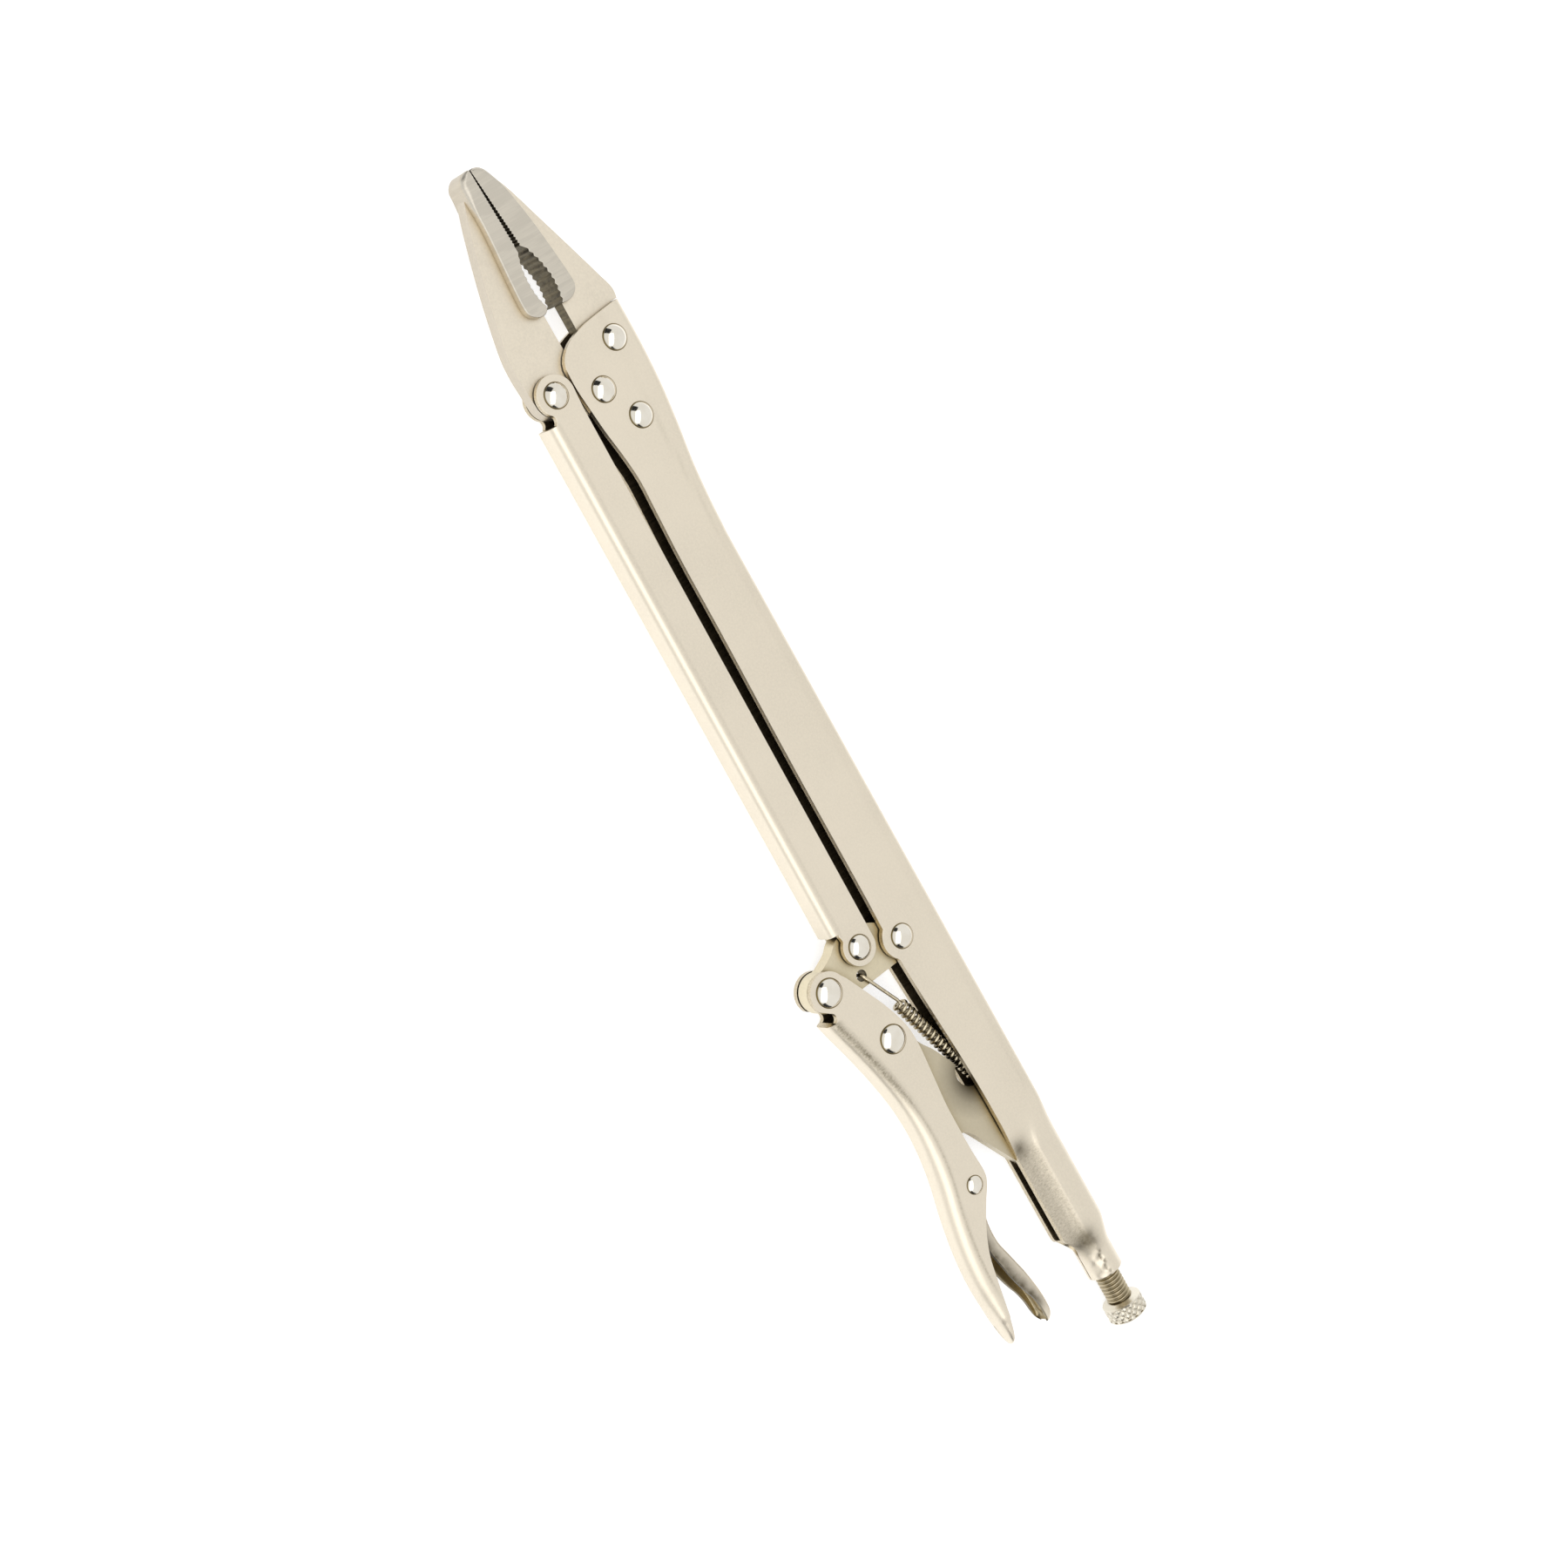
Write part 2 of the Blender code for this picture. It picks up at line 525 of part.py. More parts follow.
body_channel()
fixed_jaw()
moving_jaw()
link_arm()
rocker_plate()
toggle_link()
lever_handle()
release_lever()
adjusting_screw()
opening_spring()

jaw_front_joint = pivot("jaw_front_joint", ARM_FRONT_PIVOT, jaw_joint, JAW_PIVOT)
rivet("jaw_rivet_front", ARM_RIVET, pivot("seat_front", JAW_RIVET_FRONT, root))
rivet("jaw_rivet_rear", ARM_RIVET, pivot("seat_rear", JAW_RIVET_REAR, root))
rivet("jaw_pivot_rivet", ARM_RIVET, pivot("seat_jaw", JAW_PIVOT, root))
rivet("arm_front_rivet", ARM_RIVET, jaw_front_joint)
rivet("rocker_pivot_rivet", ARM_RIVET, pivot("seat_rocker", ROCKER_PIVOT, root))
rivet("arm_rear_rivet", ARM_RIVET, arm_joint)
rivet("lever_pivot_rivet", LEVER_RIVET, lever_joint)
rivet("toggle_pivot_rivet", LEVER_RIVET, pivot("seat_toggle", TOGGLE_PIVOT, lever_joint, LEVER_PIVOT))
rivet("release_pivot_rivet", SMALL_RIVET, pivot("seat_release", RELEASE_PIVOT, lever_joint, LEVER_PIVOT))
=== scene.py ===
import math

import bmesh
import bpy
import numpy as np
from mathutils import Matrix, Vector


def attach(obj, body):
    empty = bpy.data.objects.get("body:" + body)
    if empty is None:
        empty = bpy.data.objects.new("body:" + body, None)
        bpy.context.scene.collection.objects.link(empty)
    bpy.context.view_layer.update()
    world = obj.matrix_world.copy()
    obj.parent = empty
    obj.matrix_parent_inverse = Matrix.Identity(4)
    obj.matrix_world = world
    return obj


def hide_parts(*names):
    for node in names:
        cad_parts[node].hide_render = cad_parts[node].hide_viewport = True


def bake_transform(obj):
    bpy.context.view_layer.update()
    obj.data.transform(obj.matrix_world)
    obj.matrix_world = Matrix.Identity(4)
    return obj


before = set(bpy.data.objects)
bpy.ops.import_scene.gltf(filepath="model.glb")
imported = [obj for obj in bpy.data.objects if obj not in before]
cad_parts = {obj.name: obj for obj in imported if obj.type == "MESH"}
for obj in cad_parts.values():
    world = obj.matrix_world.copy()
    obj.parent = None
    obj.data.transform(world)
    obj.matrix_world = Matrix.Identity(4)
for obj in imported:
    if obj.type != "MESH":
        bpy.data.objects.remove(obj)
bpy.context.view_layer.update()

# The drawing is in millimetres: X from the knob to the jaw tips along the screw's axis, Y towards
# the lever, Z = 0 in the middle plane of every plate. ORIGIN is the frame's origin in the drawing.
MM = 0.001
TIP_X = 380.8
BOX_TOP_Y = 41.8
JAW_HEEL_Y = -13.6
BOX_HALF_Z = 6.7
ORIGIN = np.array([TIP_X / 2, (BOX_TOP_Y + JAW_HEEL_Y) / 2, -BOX_HALF_Z])

# Sheet, plates and fits
SHEET = 1.8
PLATE_HALF = 2.4
OUTER_HALF = 4.7
PAD_HALF = 5.0
PINCHED_HALF = 3.45
BEND_RADIUS = 2.6

# Pivots
JAW_PIVOT = (313.8, 5.0)
ARM_FRONT_PIVOT = (318.9, 18.4)
ROCKER_PIVOT = (139.5, 7.0)
ARM_REAR_PIVOT = (144.6, 20.4)
LEVER_PIVOT = (139.4, 35.7)
TOGGLE_PIVOT = (116.9, 25.5)
RELEASE_PIVOT = (66.5, 25.7)
TOGGLE_NOSE = (56.9, 0.0)
JAW_RIVET_FRONT = (324.2, -5.6)
JAW_RIVET_REAR = (302.8, -1.2)
SPRING_HOLE = (136.8, 23.2)

# Rivets: shank radius, head radius, head height
ARM_RIVET = (2.4, 3.75, 1.9)
LEVER_RIVET = (2.8, 4.35, 2.0)
SMALL_RIVET = (1.6, 2.85, 1.3)
HEAD_GAP = 0.03

# Screw
SCREW_RADIUS = 3.85
THREAD_PITCH = 1.25
THREAD_DEPTH = 0.55
KNOB_RADIUS = 6.2
KNOB_LENGTH = 6.2
SCREW_TIP_X = 48.4
KNURL_STARTS = 16
KNURL_PITCH = 2.4
KNURL_DEPTH = 0.38


# ---------------------------------------------------------------- drawing helpers

def arc(center, radius, start, end, steps):
    """Points of a circular arc, with its angles in degrees."""
    turned = np.radians(np.linspace(start, end, steps + 1))
    return [(center[0] + radius * math.cos(a), center[1] + radius * math.sin(a)) for a in turned]


def smooth(points, steps=6):
    """A Catmull-Rom curve through the points."""
    ends = np.array([points[0], *points, points[-1]], float)
    made = []
    for p0, p1, p2, p3 in zip(ends, ends[1:], ends[2:], ends[3:]):
        for t in np.arange(steps) / steps:
            made.append(tuple(0.5 * (2 * p1 + (p2 - p0) * t + (2 * p0 - 5 * p1 + 4 * p2 - p3) * t**2
                                     + (3 * p1 - p0 - 3 * p2 + p3) * t**3)))
    return made + [tuple(ends[-1])]


def line(points, x):
    """The value at x of a smooth line through (x, value) points that run forwards."""
    fine = np.array(smooth(points, 8))
    return np.interp(x, fine[:, 0], fine[:, 1])


def run_along(path):
    """The length of the path up to each of its points."""
    return np.concatenate([[0], np.cumsum(np.linalg.norm(np.diff(path, axis=0), axis=1))])


def resample(path, count):
    """The path cut into count evenly spaced points."""
    path = np.array(path, float)
    run = run_along(path)
    even = np.linspace(0, run[-1], count)
    return np.stack([np.interp(even, run, path[:, k]) for k in range(path.shape[1])], 1)


def ramp(x, low, high):
    """0 below low, 1 above high, smooth between."""
    t = np.clip((x - low) / (high - low), 0, 1)
    return t * t * (3 - 2 * t)


# ---------------------------------------------------------------- materials

class Nodes:
    """A short way to build one material's node tree."""

    def __init__(self, name):
        self.material = bpy.data.materials.new(name)
        self.material.use_nodes = True
        self.tree = self.material.node_tree
        self.shader = self.tree.nodes["Principled BSDF"]
        self.place = self.add("ShaderNodeTexCoord").outputs["Object"]

    def add(self, kind, inputs=(), **settings):
        node = self.tree.nodes.new(kind)
        for key, value in settings.items():
            setattr(node, key, value)
        for key, value in dict(inputs).items():
            if isinstance(value, bpy.types.NodeSocket):
                self.tree.links.new(value, node.inputs[key])
            else:
                node.inputs[key].default_value = value
        return node

    def stretched(self, scale):
        """The place, scaled by a different amount on each axis."""
        return self.add("ShaderNodeMapping", {"Vector": self.place, "Scale": scale}).outputs["Vector"]

    def noise(self, scale, detail=2.0, where=None, roughness=0.5):
        made = self.add("ShaderNodeTexNoise", {"Vector": where or self.place, "Scale": scale,
                                               "Detail": detail, "Roughness": roughness})
        return made.outputs["Fac"]

    def steps(self, value, stops):
        """A colour ramp through (position, grey) or (position, (r, g, b)) stops."""
        made = self.add("ShaderNodeValToRGB", {"Fac": value})
        ramp_stops = made.color_ramp.elements
        while len(ramp_stops) < len(stops):
            ramp_stops.new(0.5)
        for stop, (at, color) in zip(ramp_stops, stops):
            stop.position = at
            stop.color = (*color, 1) if isinstance(color, tuple) else (color, color, color, 1)
        return made.outputs["Color"]

    def mix(self, factor, a, b):
        made = self.add("ShaderNodeMix", data_type="RGBA", blend_type="MIX")
        for index, value in ((0, factor), (6, a), (7, b)):
            if isinstance(value, bpy.types.NodeSocket):
                self.tree.links.new(value, made.inputs[index])
            else:
                made.inputs[index].default_value = (*value, 1) if isinstance(value, tuple) else value
        return made.outputs[2]

    def math(self, kind, a, b=0.0, clamp=False):
        return self.add("ShaderNodeMath", {0: a, 1: b}, operation=kind, use_clamp=clamp).outputs[0]

    def scaled(self, value, scale, base):
        """value * scale + base."""
        return self.math("ADD", self.math("MULTIPLY", value, scale), base)

    def attribute(self, name):
        return self.add("ShaderNodeAttribute", attribute_name=name).outputs["Fac"]

    def openness(self, reach):
        """1 in the open, falling where other surfaces stand within reach mm."""
        return self.add("ShaderNodeAmbientOcclusion", {"Distance": reach * MM}, samples=8).outputs["AO"]

    def near(self, spot, radius):
        """1 at a drawing point, falling to 0 at radius mm from it."""
        center = tuple((np.array(spot) - ORIGIN) * MM)
        away = self.add("ShaderNodeVectorMath", {0: self.place, 1: center}, operation="DISTANCE")
        share = self.math("MULTIPLY", away.outputs["Value"], 1 / (radius * MM))
        return self.math("SUBTRACT", 1.0, share, clamp=True)

    def bump(self, layers):
        """Bump of (height, distance in mm) layers."""
        normal = None
        for height, distance in layers:
            inputs = {"Height": height, "Distance": distance * MM, "Strength": 1.0}
            if normal:
                inputs["Normal"] = normal
            normal = self.add("ShaderNodeBump", inputs).outputs["Normal"]
        self.tree.links.new(normal, self.shader.inputs["Normal"])

    def finish(self, color, roughness, metallic=1.0):
        for key, value in (("Base Color", color), ("Roughness", roughness)):
            if isinstance(value, bpy.types.NodeSocket):
                self.tree.links.new(value, self.shader.inputs[key])
            elif isinstance(value, tuple):
                self.shader.inputs[key].default_value = (*value, 1)
            else:
                self.shader.inputs[key].default_value = value
        self.shader.inputs["Metallic"].default_value = metallic
        return self.material


CHAMPAGNE = (0.79, 0.715, 0.585)
# Painted shade in crevices.
CREVICE_SHADE_BROWN = (0.30, 0.225, 0.09)
# Painted shade on the sheet's cut edges.
OLIVE_EDGE_SHADE = (0.46, 0.385, 0.25)
COINED = (0.21, 0.18, 0.12)
# A real burnt stain on the body, painted shade on the release lever.
STAIN_AND_SHADE_BROWN = (0.085, 0.068, 0.038)
GREY_STEEL = (0.63, 0.585, 0.50)
# Painted shade on the jaws' side walls.
SHADED_RIM_STEEL = (0.59, 0.53, 0.43)
# A painted shadow on the toggle link.
SHADOW_BROWN = (0.05, 0.038, 0.02)


def satin_nickel(name, base=CHAMPAGNE, crevice_mm=2.2, shade=(0.25, 0.74), shadow_spot=None):
    """Warm satin nickel over pressed steel: coined and rough where wear is 1, dark brown where the
    stain-and-shade value is 1, which is a real burnt stain on the body and painted shade on the release
    lever.

    It is painted darker, as shade, as the openness over crevice_mm falls from the second value of shade to
    the first, and towards the middle of the painted shadow spot, which is a drawing point and a radius in mm.
    """
    n = Nodes(name)
    cloud = n.noise(45, 3)
    speckle = n.noise(1500, 3, roughness=0.6)
    pits = n.noise(2100, 3, roughness=0.7)
    grain = n.noise(5200, 2)
    mottle = n.noise(1.0, 4, where=n.stretched((2300, 1100, 1900)), roughness=0.75)
    color = n.mix(n.steps(cloud, [(0.3, 0.0), (0.72, 1.0)]), base, tuple(0.93 * c for c in base))
    color = n.mix(n.steps(speckle, [(0.35, 0.0), (0.65, 0.5)]), color, tuple(1.06 * c for c in base))
    color = n.mix(n.steps(pits, [(0.68, 0.0), (0.78, 0.45)]), color, (0.46, 0.40, 0.28))
    closed = n.openness(crevice_mm)
    # Painted shade where other surfaces stand close.
    color = n.mix(n.steps(closed, [(shade[0], 0.95), (shade[1], 0.0)]), color, CREVICE_SHADE_BROWN)
    wear = n.attribute("wear")
    rough_skin = n.steps(mottle, [(0.36, 0.38), (0.52, 0.68), (0.64, 1.0)])
    color = n.mix(n.math("MULTIPLY", wear, rough_skin, clamp=True), color, COINED)
    blotch = n.steps(n.noise(420, 3), [(0.3, 0.7), (0.65, 1.0)])
    # Dark brown: a real burnt stain on the body, painted shade on the release lever.
    color = n.mix(n.math("MULTIPLY", n.attribute("stain_and_shade"), blotch, clamp=True), color, STAIN_AND_SHADE_BROWN)
    # A painted shadow round a drawing point.
    if shadow_spot:
        shadow_mix = n.steps(n.near(*shadow_spot), [(0.0, 0.0), (0.35, 0.35), (0.7, 0.95)])
        color = n.mix(shadow_mix, color, SHADOW_BROWN)
    rough = n.scaled(grain, 0.10, 0.33)
    rough = n.math("ADD", rough, n.math("MULTIPLY", wear, 0.12))
    n.bump([(grain, 0.005), (pits, 0.008), (n.math("MULTIPLY", mottle, wear), 0.10)])
    return n.finish(color, rough)


def sheet_edge(name):
    """The cut edges of the sheet, painted olive as shade."""
    n = Nodes(name)
    grain = n.noise(2400, 3)
    color = n.mix(n.steps(grain, [(0.35, 0.0), (0.65, 1.0)]), OLIVE_EDGE_SHADE, (0.66, 0.58, 0.44))
    n.bump([(grain, 0.006)])
    return n.finish(color, n.scaled(grain, 0.12, 0.25))


def ground_steel(name, base=GREY_STEEL, skin=CHAMPAGNE):
    """The jaws: a nickel skin over forged steel, with grinding lines across the base where wear is 1, painted
    darker as shade where other surfaces stand close.
    """
    n = Nodes(name)
    cloud = n.noise(70, 3)
    grain = n.noise(2600, 3)
    lines = n.noise(1.0, 3, where=n.stretched((1700, 90, 120)), roughness=0.7)
    bands = n.noise(1.0, 2, where=n.stretched((520, 60, 60)))
    ground = n.attribute("wear")
    speckle = n.noise(1500, 3, roughness=0.6)
    color = n.mix(n.steps(cloud, [(0.3, 0.0), (0.75, 1.0)]), skin, tuple(0.92 * c for c in skin))
    color = n.mix(n.steps(speckle, [(0.35, 0.0), (0.65, 0.6)]), color, tuple(1.07 * c for c in skin))
    pad = n.mix(n.steps(lines, [(0.40, 0.0), (0.62, 0.6)]), base, tuple(0.90 * c for c in base))
    pad = n.mix(n.steps(bands, [(0.48, 0.0), (0.54, 0.55)]), pad, tuple(0.88 * c for c in base))
    color = n.mix(ground, color, pad)
    closed = n.openness(1.6)
    # Painted shade where other surfaces stand close.
    color = n.mix(n.steps(closed, [(0.25, 0.8), (0.7, 0.0)]), color, CREVICE_SHADE_BROWN)
    rough = n.scaled(grain, 0.10, 0.33)
    rough = n.math("ADD", rough, n.math("MULTIPLY", ground, 0.06))
    n.bump([(grain, 0.005), (speckle, 0.008), (n.math("MULTIPLY", lines, ground), 0.015)])
    return n.finish(color, rough)


def polished(name):
    """Bright rivet heads, with an olive line painted round their rims as shade where the mesh's wear is 1."""
    n = Nodes(name)
    grain = n.noise(1800, 2)
    cloud = n.noise(300, 2)
    color = n.mix(n.steps(cloud, [(0.3, 0.0), (0.7, 1.0)]), (0.84, 0.80, 0.71), (0.78, 0.73, 0.63))
    color = n.mix(n.attribute("wear"), color, (0.20, 0.15, 0.06))
    rough = n.scaled(grain, 0.05, 0.08)
    rough = n.math("ADD", rough, n.math("MULTIPLY", n.attribute("wear"), 0.3))
    n.bump([(grain, 0.0015)])
    return n.finish(color, rough)


def thread_steel(name):
    n = Nodes(name)
    grain = n.noise(1500, 3)
    dirt_and_shade = n.noise(260, 4, roughness=0.6)
    color = n.mix(n.steps(dirt_and_shade, [(0.35, 0.0), (0.7, 1.0)]), (0.56, 0.48, 0.33), (0.40, 0.34, 0.22))
    # Painted shade: the thread's and the knob's grooves darken where other surfaces stand close.
    closed = n.openness(0.9)
    color = n.mix(n.steps(closed, [(0.45, 0.9), (0.93, 0.0)]), color, (0.13, 0.10, 0.05))
    knob = n.steps(n.attribute("wear"), [(0.4, 0.0), (0.6, 1.0)])
    color = n.mix(knob, color, n.mix(n.steps(closed, [(0.45, 0.9), (0.97, 0.0)]), (0.74, 0.69, 0.58),
                                     (0.26, 0.21, 0.12)))
    rough = n.scaled(grain, 0.12, 0.24)
    n.bump([(grain, 0.01)])
    return n.finish(color, rough)


def spring_steel(name):
    """Light wire on the open outside of the coil, painted near-black as shade where the turns close in."""
    n = Nodes(name)
    lines = n.noise(1200, 3)
    closed = n.openness(2.2)
    color = n.mix(n.steps(closed, [(0.42, 0.0), (0.80, 1.0)]), (0.022, 0.017, 0.011), (0.66, 0.58, 0.42))
    color = n.mix(n.steps(lines, [(0.45, 0.0), (0.75, 0.5)]), color, (0.20, 0.165, 0.11))
    n.bump([(lines, 0.004)])
    return n.finish(color, n.scaled(lines, 0.1, 0.2))


def shaded_inside(name, base):
    """The inner faces of the channels and the tooth faces, painted dark as shade, with patchy tone and bands.
    """
    n = Nodes(name)
    dirt_and_shade = n.noise(700, 4, roughness=0.6)
    bands = n.noise(1.0, 3, where=n.stretched((1500, 120, 150)))
    color = n.mix(n.steps(dirt_and_shade, [(0.3, 0.0), (0.7, 1.0)]), base, tuple(0.55 * c for c in base))
    color = n.mix(n.steps(bands, [(0.42, 0.0), (0.62, 0.6)]), color, tuple(1.5 * c for c in base))
    n.bump([(dirt_and_shade, 0.02), (bands, 0.02)])
    return n.finish(color, n.scaled(dirt_and_shade, 0.2, 0.35))


NICKEL = satin_nickel("satin_nickel_sheet")
EDGE = sheet_edge("shaded_sheet_edge")
INSIDE = shaded_inside("shaded_channel_inside", (0.125, 0.095, 0.055))
TOOTH_SHADE = shaded_inside("shaded_tooth_faces", (0.165, 0.138, 0.085))
SHADED_RIM = satin_nickel("shaded_lever_rim", (0.20, 0.165, 0.10))
# The rocker plate's material paints stronger crevice shade.
YELLOWED = satin_nickel("yellowed_nickel", (0.71, 0.63, 0.455), 4.0, (0.35, 0.88))
# A darker copy of the nickel, painted shade for the toggle link and the release lever's inner faces, with
# strong crevice shade and a painted shadow spot.
SHADED_NICKEL = satin_nickel("shaded_nickel", (0.60, 0.535, 0.40), 9.0, (0.42, 0.97),
                         shadow_spot=((92.0, 7.5, 2.3), 13.0))
JAW_STEEL = ground_steel("ground_jaw_steel")
# A darker copy of the jaw steel, painted shade for the jaws' side walls.
SHADED_JAW_RIM = ground_steel("shaded_jaw_steel_rims", SHADED_RIM_STEEL, SHADED_RIM_STEEL)
RIVET = polished("polished_rivet_head")
THREAD = thread_steel("thread_and_knob")
SPRING = spring_steel("spring_wire")


# ---------------------------------------------------------------- mesh helpers

SHARP_ANGLE = 32
EDGE_ROUNDING = 0.3
TIP_SHARE = 0.12


def face_outwards(mesh):
    shape = bmesh.new()
    shape.from_mesh(mesh)
    bmesh.ops.recalc_face_normals(shape, faces=shape.faces)
    shape.to_mesh(mesh)
    shape.free()


def write_values(mesh, name, values):
    """Stores one number for each point, for the materials to read."""
    layer = mesh.attributes.new(name, "FLOAT", "POINT")
    layer.data.foreach_set("value", np.array(values, np.float32))


def settle(name, mesh, body, stands_for, sharp=SHARP_ANGLE):
    """Makes a mesh an object that rides on a body and stands for a CAD node, if one is given."""
    mesh.shade_smooth()
    mesh.set_sharp_from_angle(angle=math.radians(sharp))
    obj = bpy.data.objects.new(name, mesh)
    bpy.context.scene.collection.objects.link(obj)
    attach(obj, body)
    if stands_for:
        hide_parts(stands_for)
    return obj


def mesh_of_curve(name, curve):
    """The mesh that a curve makes, without leaving the curve's object in the scene."""
    obj = bpy.data.objects.new(name, curve)
    bpy.context.scene.collection.objects.link(obj)
    bpy.context.view_layer.update()
    graph = bpy.context.evaluated_depsgraph_get()
    mesh = bpy.data.meshes.new_from_object(obj.evaluated_get(graph))
    bpy.data.objects.remove(obj, do_unlink=True)
    return mesh


def piece(name, points, faces, look, body, stands_for, wear=None, sharp=SHARP_ANGLE, stain_and_shade=None):
    """A piece from drawing points and faces; wear and the mask of dark stains and painted shade hold a value
    for each point.
    """
    mesh = bpy.data.meshes.new(name)
    mesh.from_pydata(((np.array(points, float) - ORIGIN) * MM).tolist(), [], faces)
    for kind, values in (("wear", wear), ("stain_and_shade", stain_and_shade)):
        if values is not None:
            write_values(mesh, kind, values)
    face_outwards(mesh)
    mesh.materials.append(look)
    return settle(name, mesh, body, stands_for, sharp)


def thicken(obj, thickness=SHEET, thinned=None, inside=None, rim=None):
    """Gives an outer skin its sheet thickness, inwards, and eases the sheet's cut edges.

    thinned is the x between which a skin that narrows to a tip reaches the full thickness.
    """
    # Painted shade: the rim faces take the cut edges' shaded colour and the inner faces the inside's shaded
    # colour, unless others are given.
    obj.data.materials.append(rim or EDGE)
    obj.data.materials.append(inside or INSIDE)
    solid = obj.modifiers.new("sheet", "SOLIDIFY")
    solid.material_offset_rim = 1
    solid.material_offset = 2
    solid.thickness = thickness * MM
    solid.offset = -1
    solid.use_even_offset = True
    if thinned:
        group = obj.vertex_groups.new(name="thickness")
        for vert in obj.data.vertices:
            full = float(ramp(vert.co.x / MM + ORIGIN[0], *thinned))
            share = TIP_SHARE + (1 - TIP_SHARE) * full
            group.add([vert.index], share, "REPLACE")
        solid.vertex_group = group.name
    ease(obj, EDGE_ROUNDING)


def flat_faces(obj):
    """Keeps large faces flat between rounded edges."""
    normals = obj.modifiers.new("flat_faces", "WEIGHTED_NORMAL")
    normals.weight = 100
    normals.keep_sharp = True


def ease(obj, width, angle=40, segments=2):
    """Rounds a piece's sharp edges."""
    edge = obj.modifiers.new("eased", "BEVEL")
    edge.width = width * MM
    edge.segments = segments
    edge.limit_method = "ANGLE"
    edge.angle_limit = math.radians(angle)
    flat_faces(obj)


def grid_faces(rows, columns, closed=False):
    """Quads of a grid whose point (row, column) is row * columns + column.

    closed joins the last column to the first.
    """
    across = columns if closed else columns - 1
    return [[r * columns + c, r * columns + (c + 1) % columns,
             (r + 1) * columns + (c + 1) % columns, (r + 1) * columns + c]
            for r in range(rows - 1) for c in range(across)]


def row_at(x, section):
    """The (y, z) points of a section as drawing points at x."""
    return np.column_stack([np.full(len(section), x), section])


def with_far_side(half):
    """Rows of near-side section points (z >= 0 last at the middle), completed with the far side."""
    rows = []
    for row in half:
        mirrored = row[::-1].copy()
        mirrored[:, 2] *= -1
        rows.append(np.concatenate([row, mirrored[1:]]))
    return rows


# ---------------------------------------------------------------- body channel

WEB_Y = -7.75
BODY_FRONT_X = 332.6
LOBE_X = 296.0
BODY_WEB = [(75, WEB_Y), (255, WEB_Y), (262, -7.8), (272, -8.2), (284, -9.2), (296, -11.0), (308, -12.4),
            (320, -13.0), (BODY_FRONT_X, -13.0)]
BODY_EDGE = [(34, 8.5), (37, 8.9), (75, 8.85), (86, 8.9), (100, 9.4), (120, 10.6), (134, 11.25), (145, 11.35),
             (155, 11.1), (200, 10.8), (240, 10.1), (262, 9.9), (278, 9.3), (288, 8.95), (296, 9.7),
             (304, 10.9), (312, 11.7), (318, 12.2), (323.5, 12.0)]
FRONT_EDGE = [(BODY_FRONT_X, -13.0 + BEND_RADIUS), (332.0, -5), (331.1, 1.2), (329.4, 6.6), (327.4, 9.6),
              (325.4, 11.3), (323.5, 12.0)]
KNUCKLE_RADIUS = 6.6
FLANGE_POINTS = 15
BEND_POINTS = 8
WEB_POINTS = 4
SECTION_POINTS = FLANGE_POINTS + BEND_POINTS + WEB_POINTS


def bent_section(edge_y, web_y, half, radius_y, radius_z=None):
    """Half of a U section as (y, z) points, from the near free edge to the middle of the web."""
    radius_z = radius_y if radius_z is None else radius_z
    start = web_y + math.copysign(radius_y, edge_y - web_y)
    flange = np.stack([np.linspace(edge_y, start, FLANGE_POINTS), np.full(FLANGE_POINTS, half)], 1)
    angles = np.radians(np.linspace(0, 90, BEND_POINTS + 1))[1:]
    bend = np.stack([start + (web_y - start) * np.sin(angles), half - radius_z * (1 - np.cos(angles))], 1)
    web = np.stack([np.full(WEB_POINTS, web_y), np.linspace(half - radius_z, 0, WEB_POINTS + 1)[1:]], 1)
    return np.concatenate([flange, bend, web])


def pinched_section(edge_y):
    """Half of the tail's section: round the screw below, squeezed together above it."""
    path = smooth([(edge_y, PINCHED_HALF), (5.2, PINCHED_HALF), (3.6, 3.9), (2.3, 4.45), (1.7, 4.95),
                   (0.0, 5.1), (-3.0, 4.9), (-5.2, 4.3), (-6.7, 3.1), (-7.5, 1.6), (WEB_Y, 0)], 8)
    return resample(path, SECTION_POINTS)


def collar_section():
    """Half of the rolled collar's section, with the die's parting line at its side."""
    upper = arc((0, 0), 5.45, 88, 24, 16)
    lower = arc((0, 0), 5.7, 20, -90, 22)
    return resample([(y, z) for z, y in upper + lower], SECTION_POINTS)


def body_edge(x):
    """The free edge's height, with the knuckle round the rocker pivot standing up from it."""
    plain = line(BODY_EDGE, x)
    across = np.clip(KNUCKLE_RADIUS**2 - (x - ROCKER_PIVOT[0])**2, 0, None)
    return np.maximum(plain, ROCKER_PIVOT[1] + np.sqrt(across) * (across > 0))


def tail_edge(x):
    return line([(25, 5.6), (26.4, 5.7), (28.2, 6.7), (30.3, 7.7), (33, 8.55), (36, 8.9), (80, 8.9)], x)


def body_rows():
    rows = []
    tail = np.concatenate([np.linspace(16.5, 25, 22), np.linspace(25.5, 40, 26), np.linspace(41, 58, 15),
                           np.linspace(59, 78, 16)])
    for x in tail:
        rolled = 1 - ramp(x, 24.5, 34)
        flat = ramp(x, 61, 76)
        section = ((1 - flat) * pinched_section(tail_edge(x))
                   + flat * bent_section(body_edge(x), WEB_Y, OUTER_HALF, BEND_RADIUS))
        section = rolled * collar_section() + (1 - rolled) * section
        rows.append(row_at(x, section))
    middle = np.concatenate([np.linspace(82, 133.5, 12), np.linspace(134.2, 144.8, 28),
                             np.linspace(146, 250, 14), np.linspace(255, LOBE_X, 16)])
    for x in middle:
        section = bent_section(body_edge(x), line(BODY_WEB, x), OUTER_HALF, BEND_RADIUS)
        rows.append(row_at(x, section))
    return rows + lobe_rows(26)


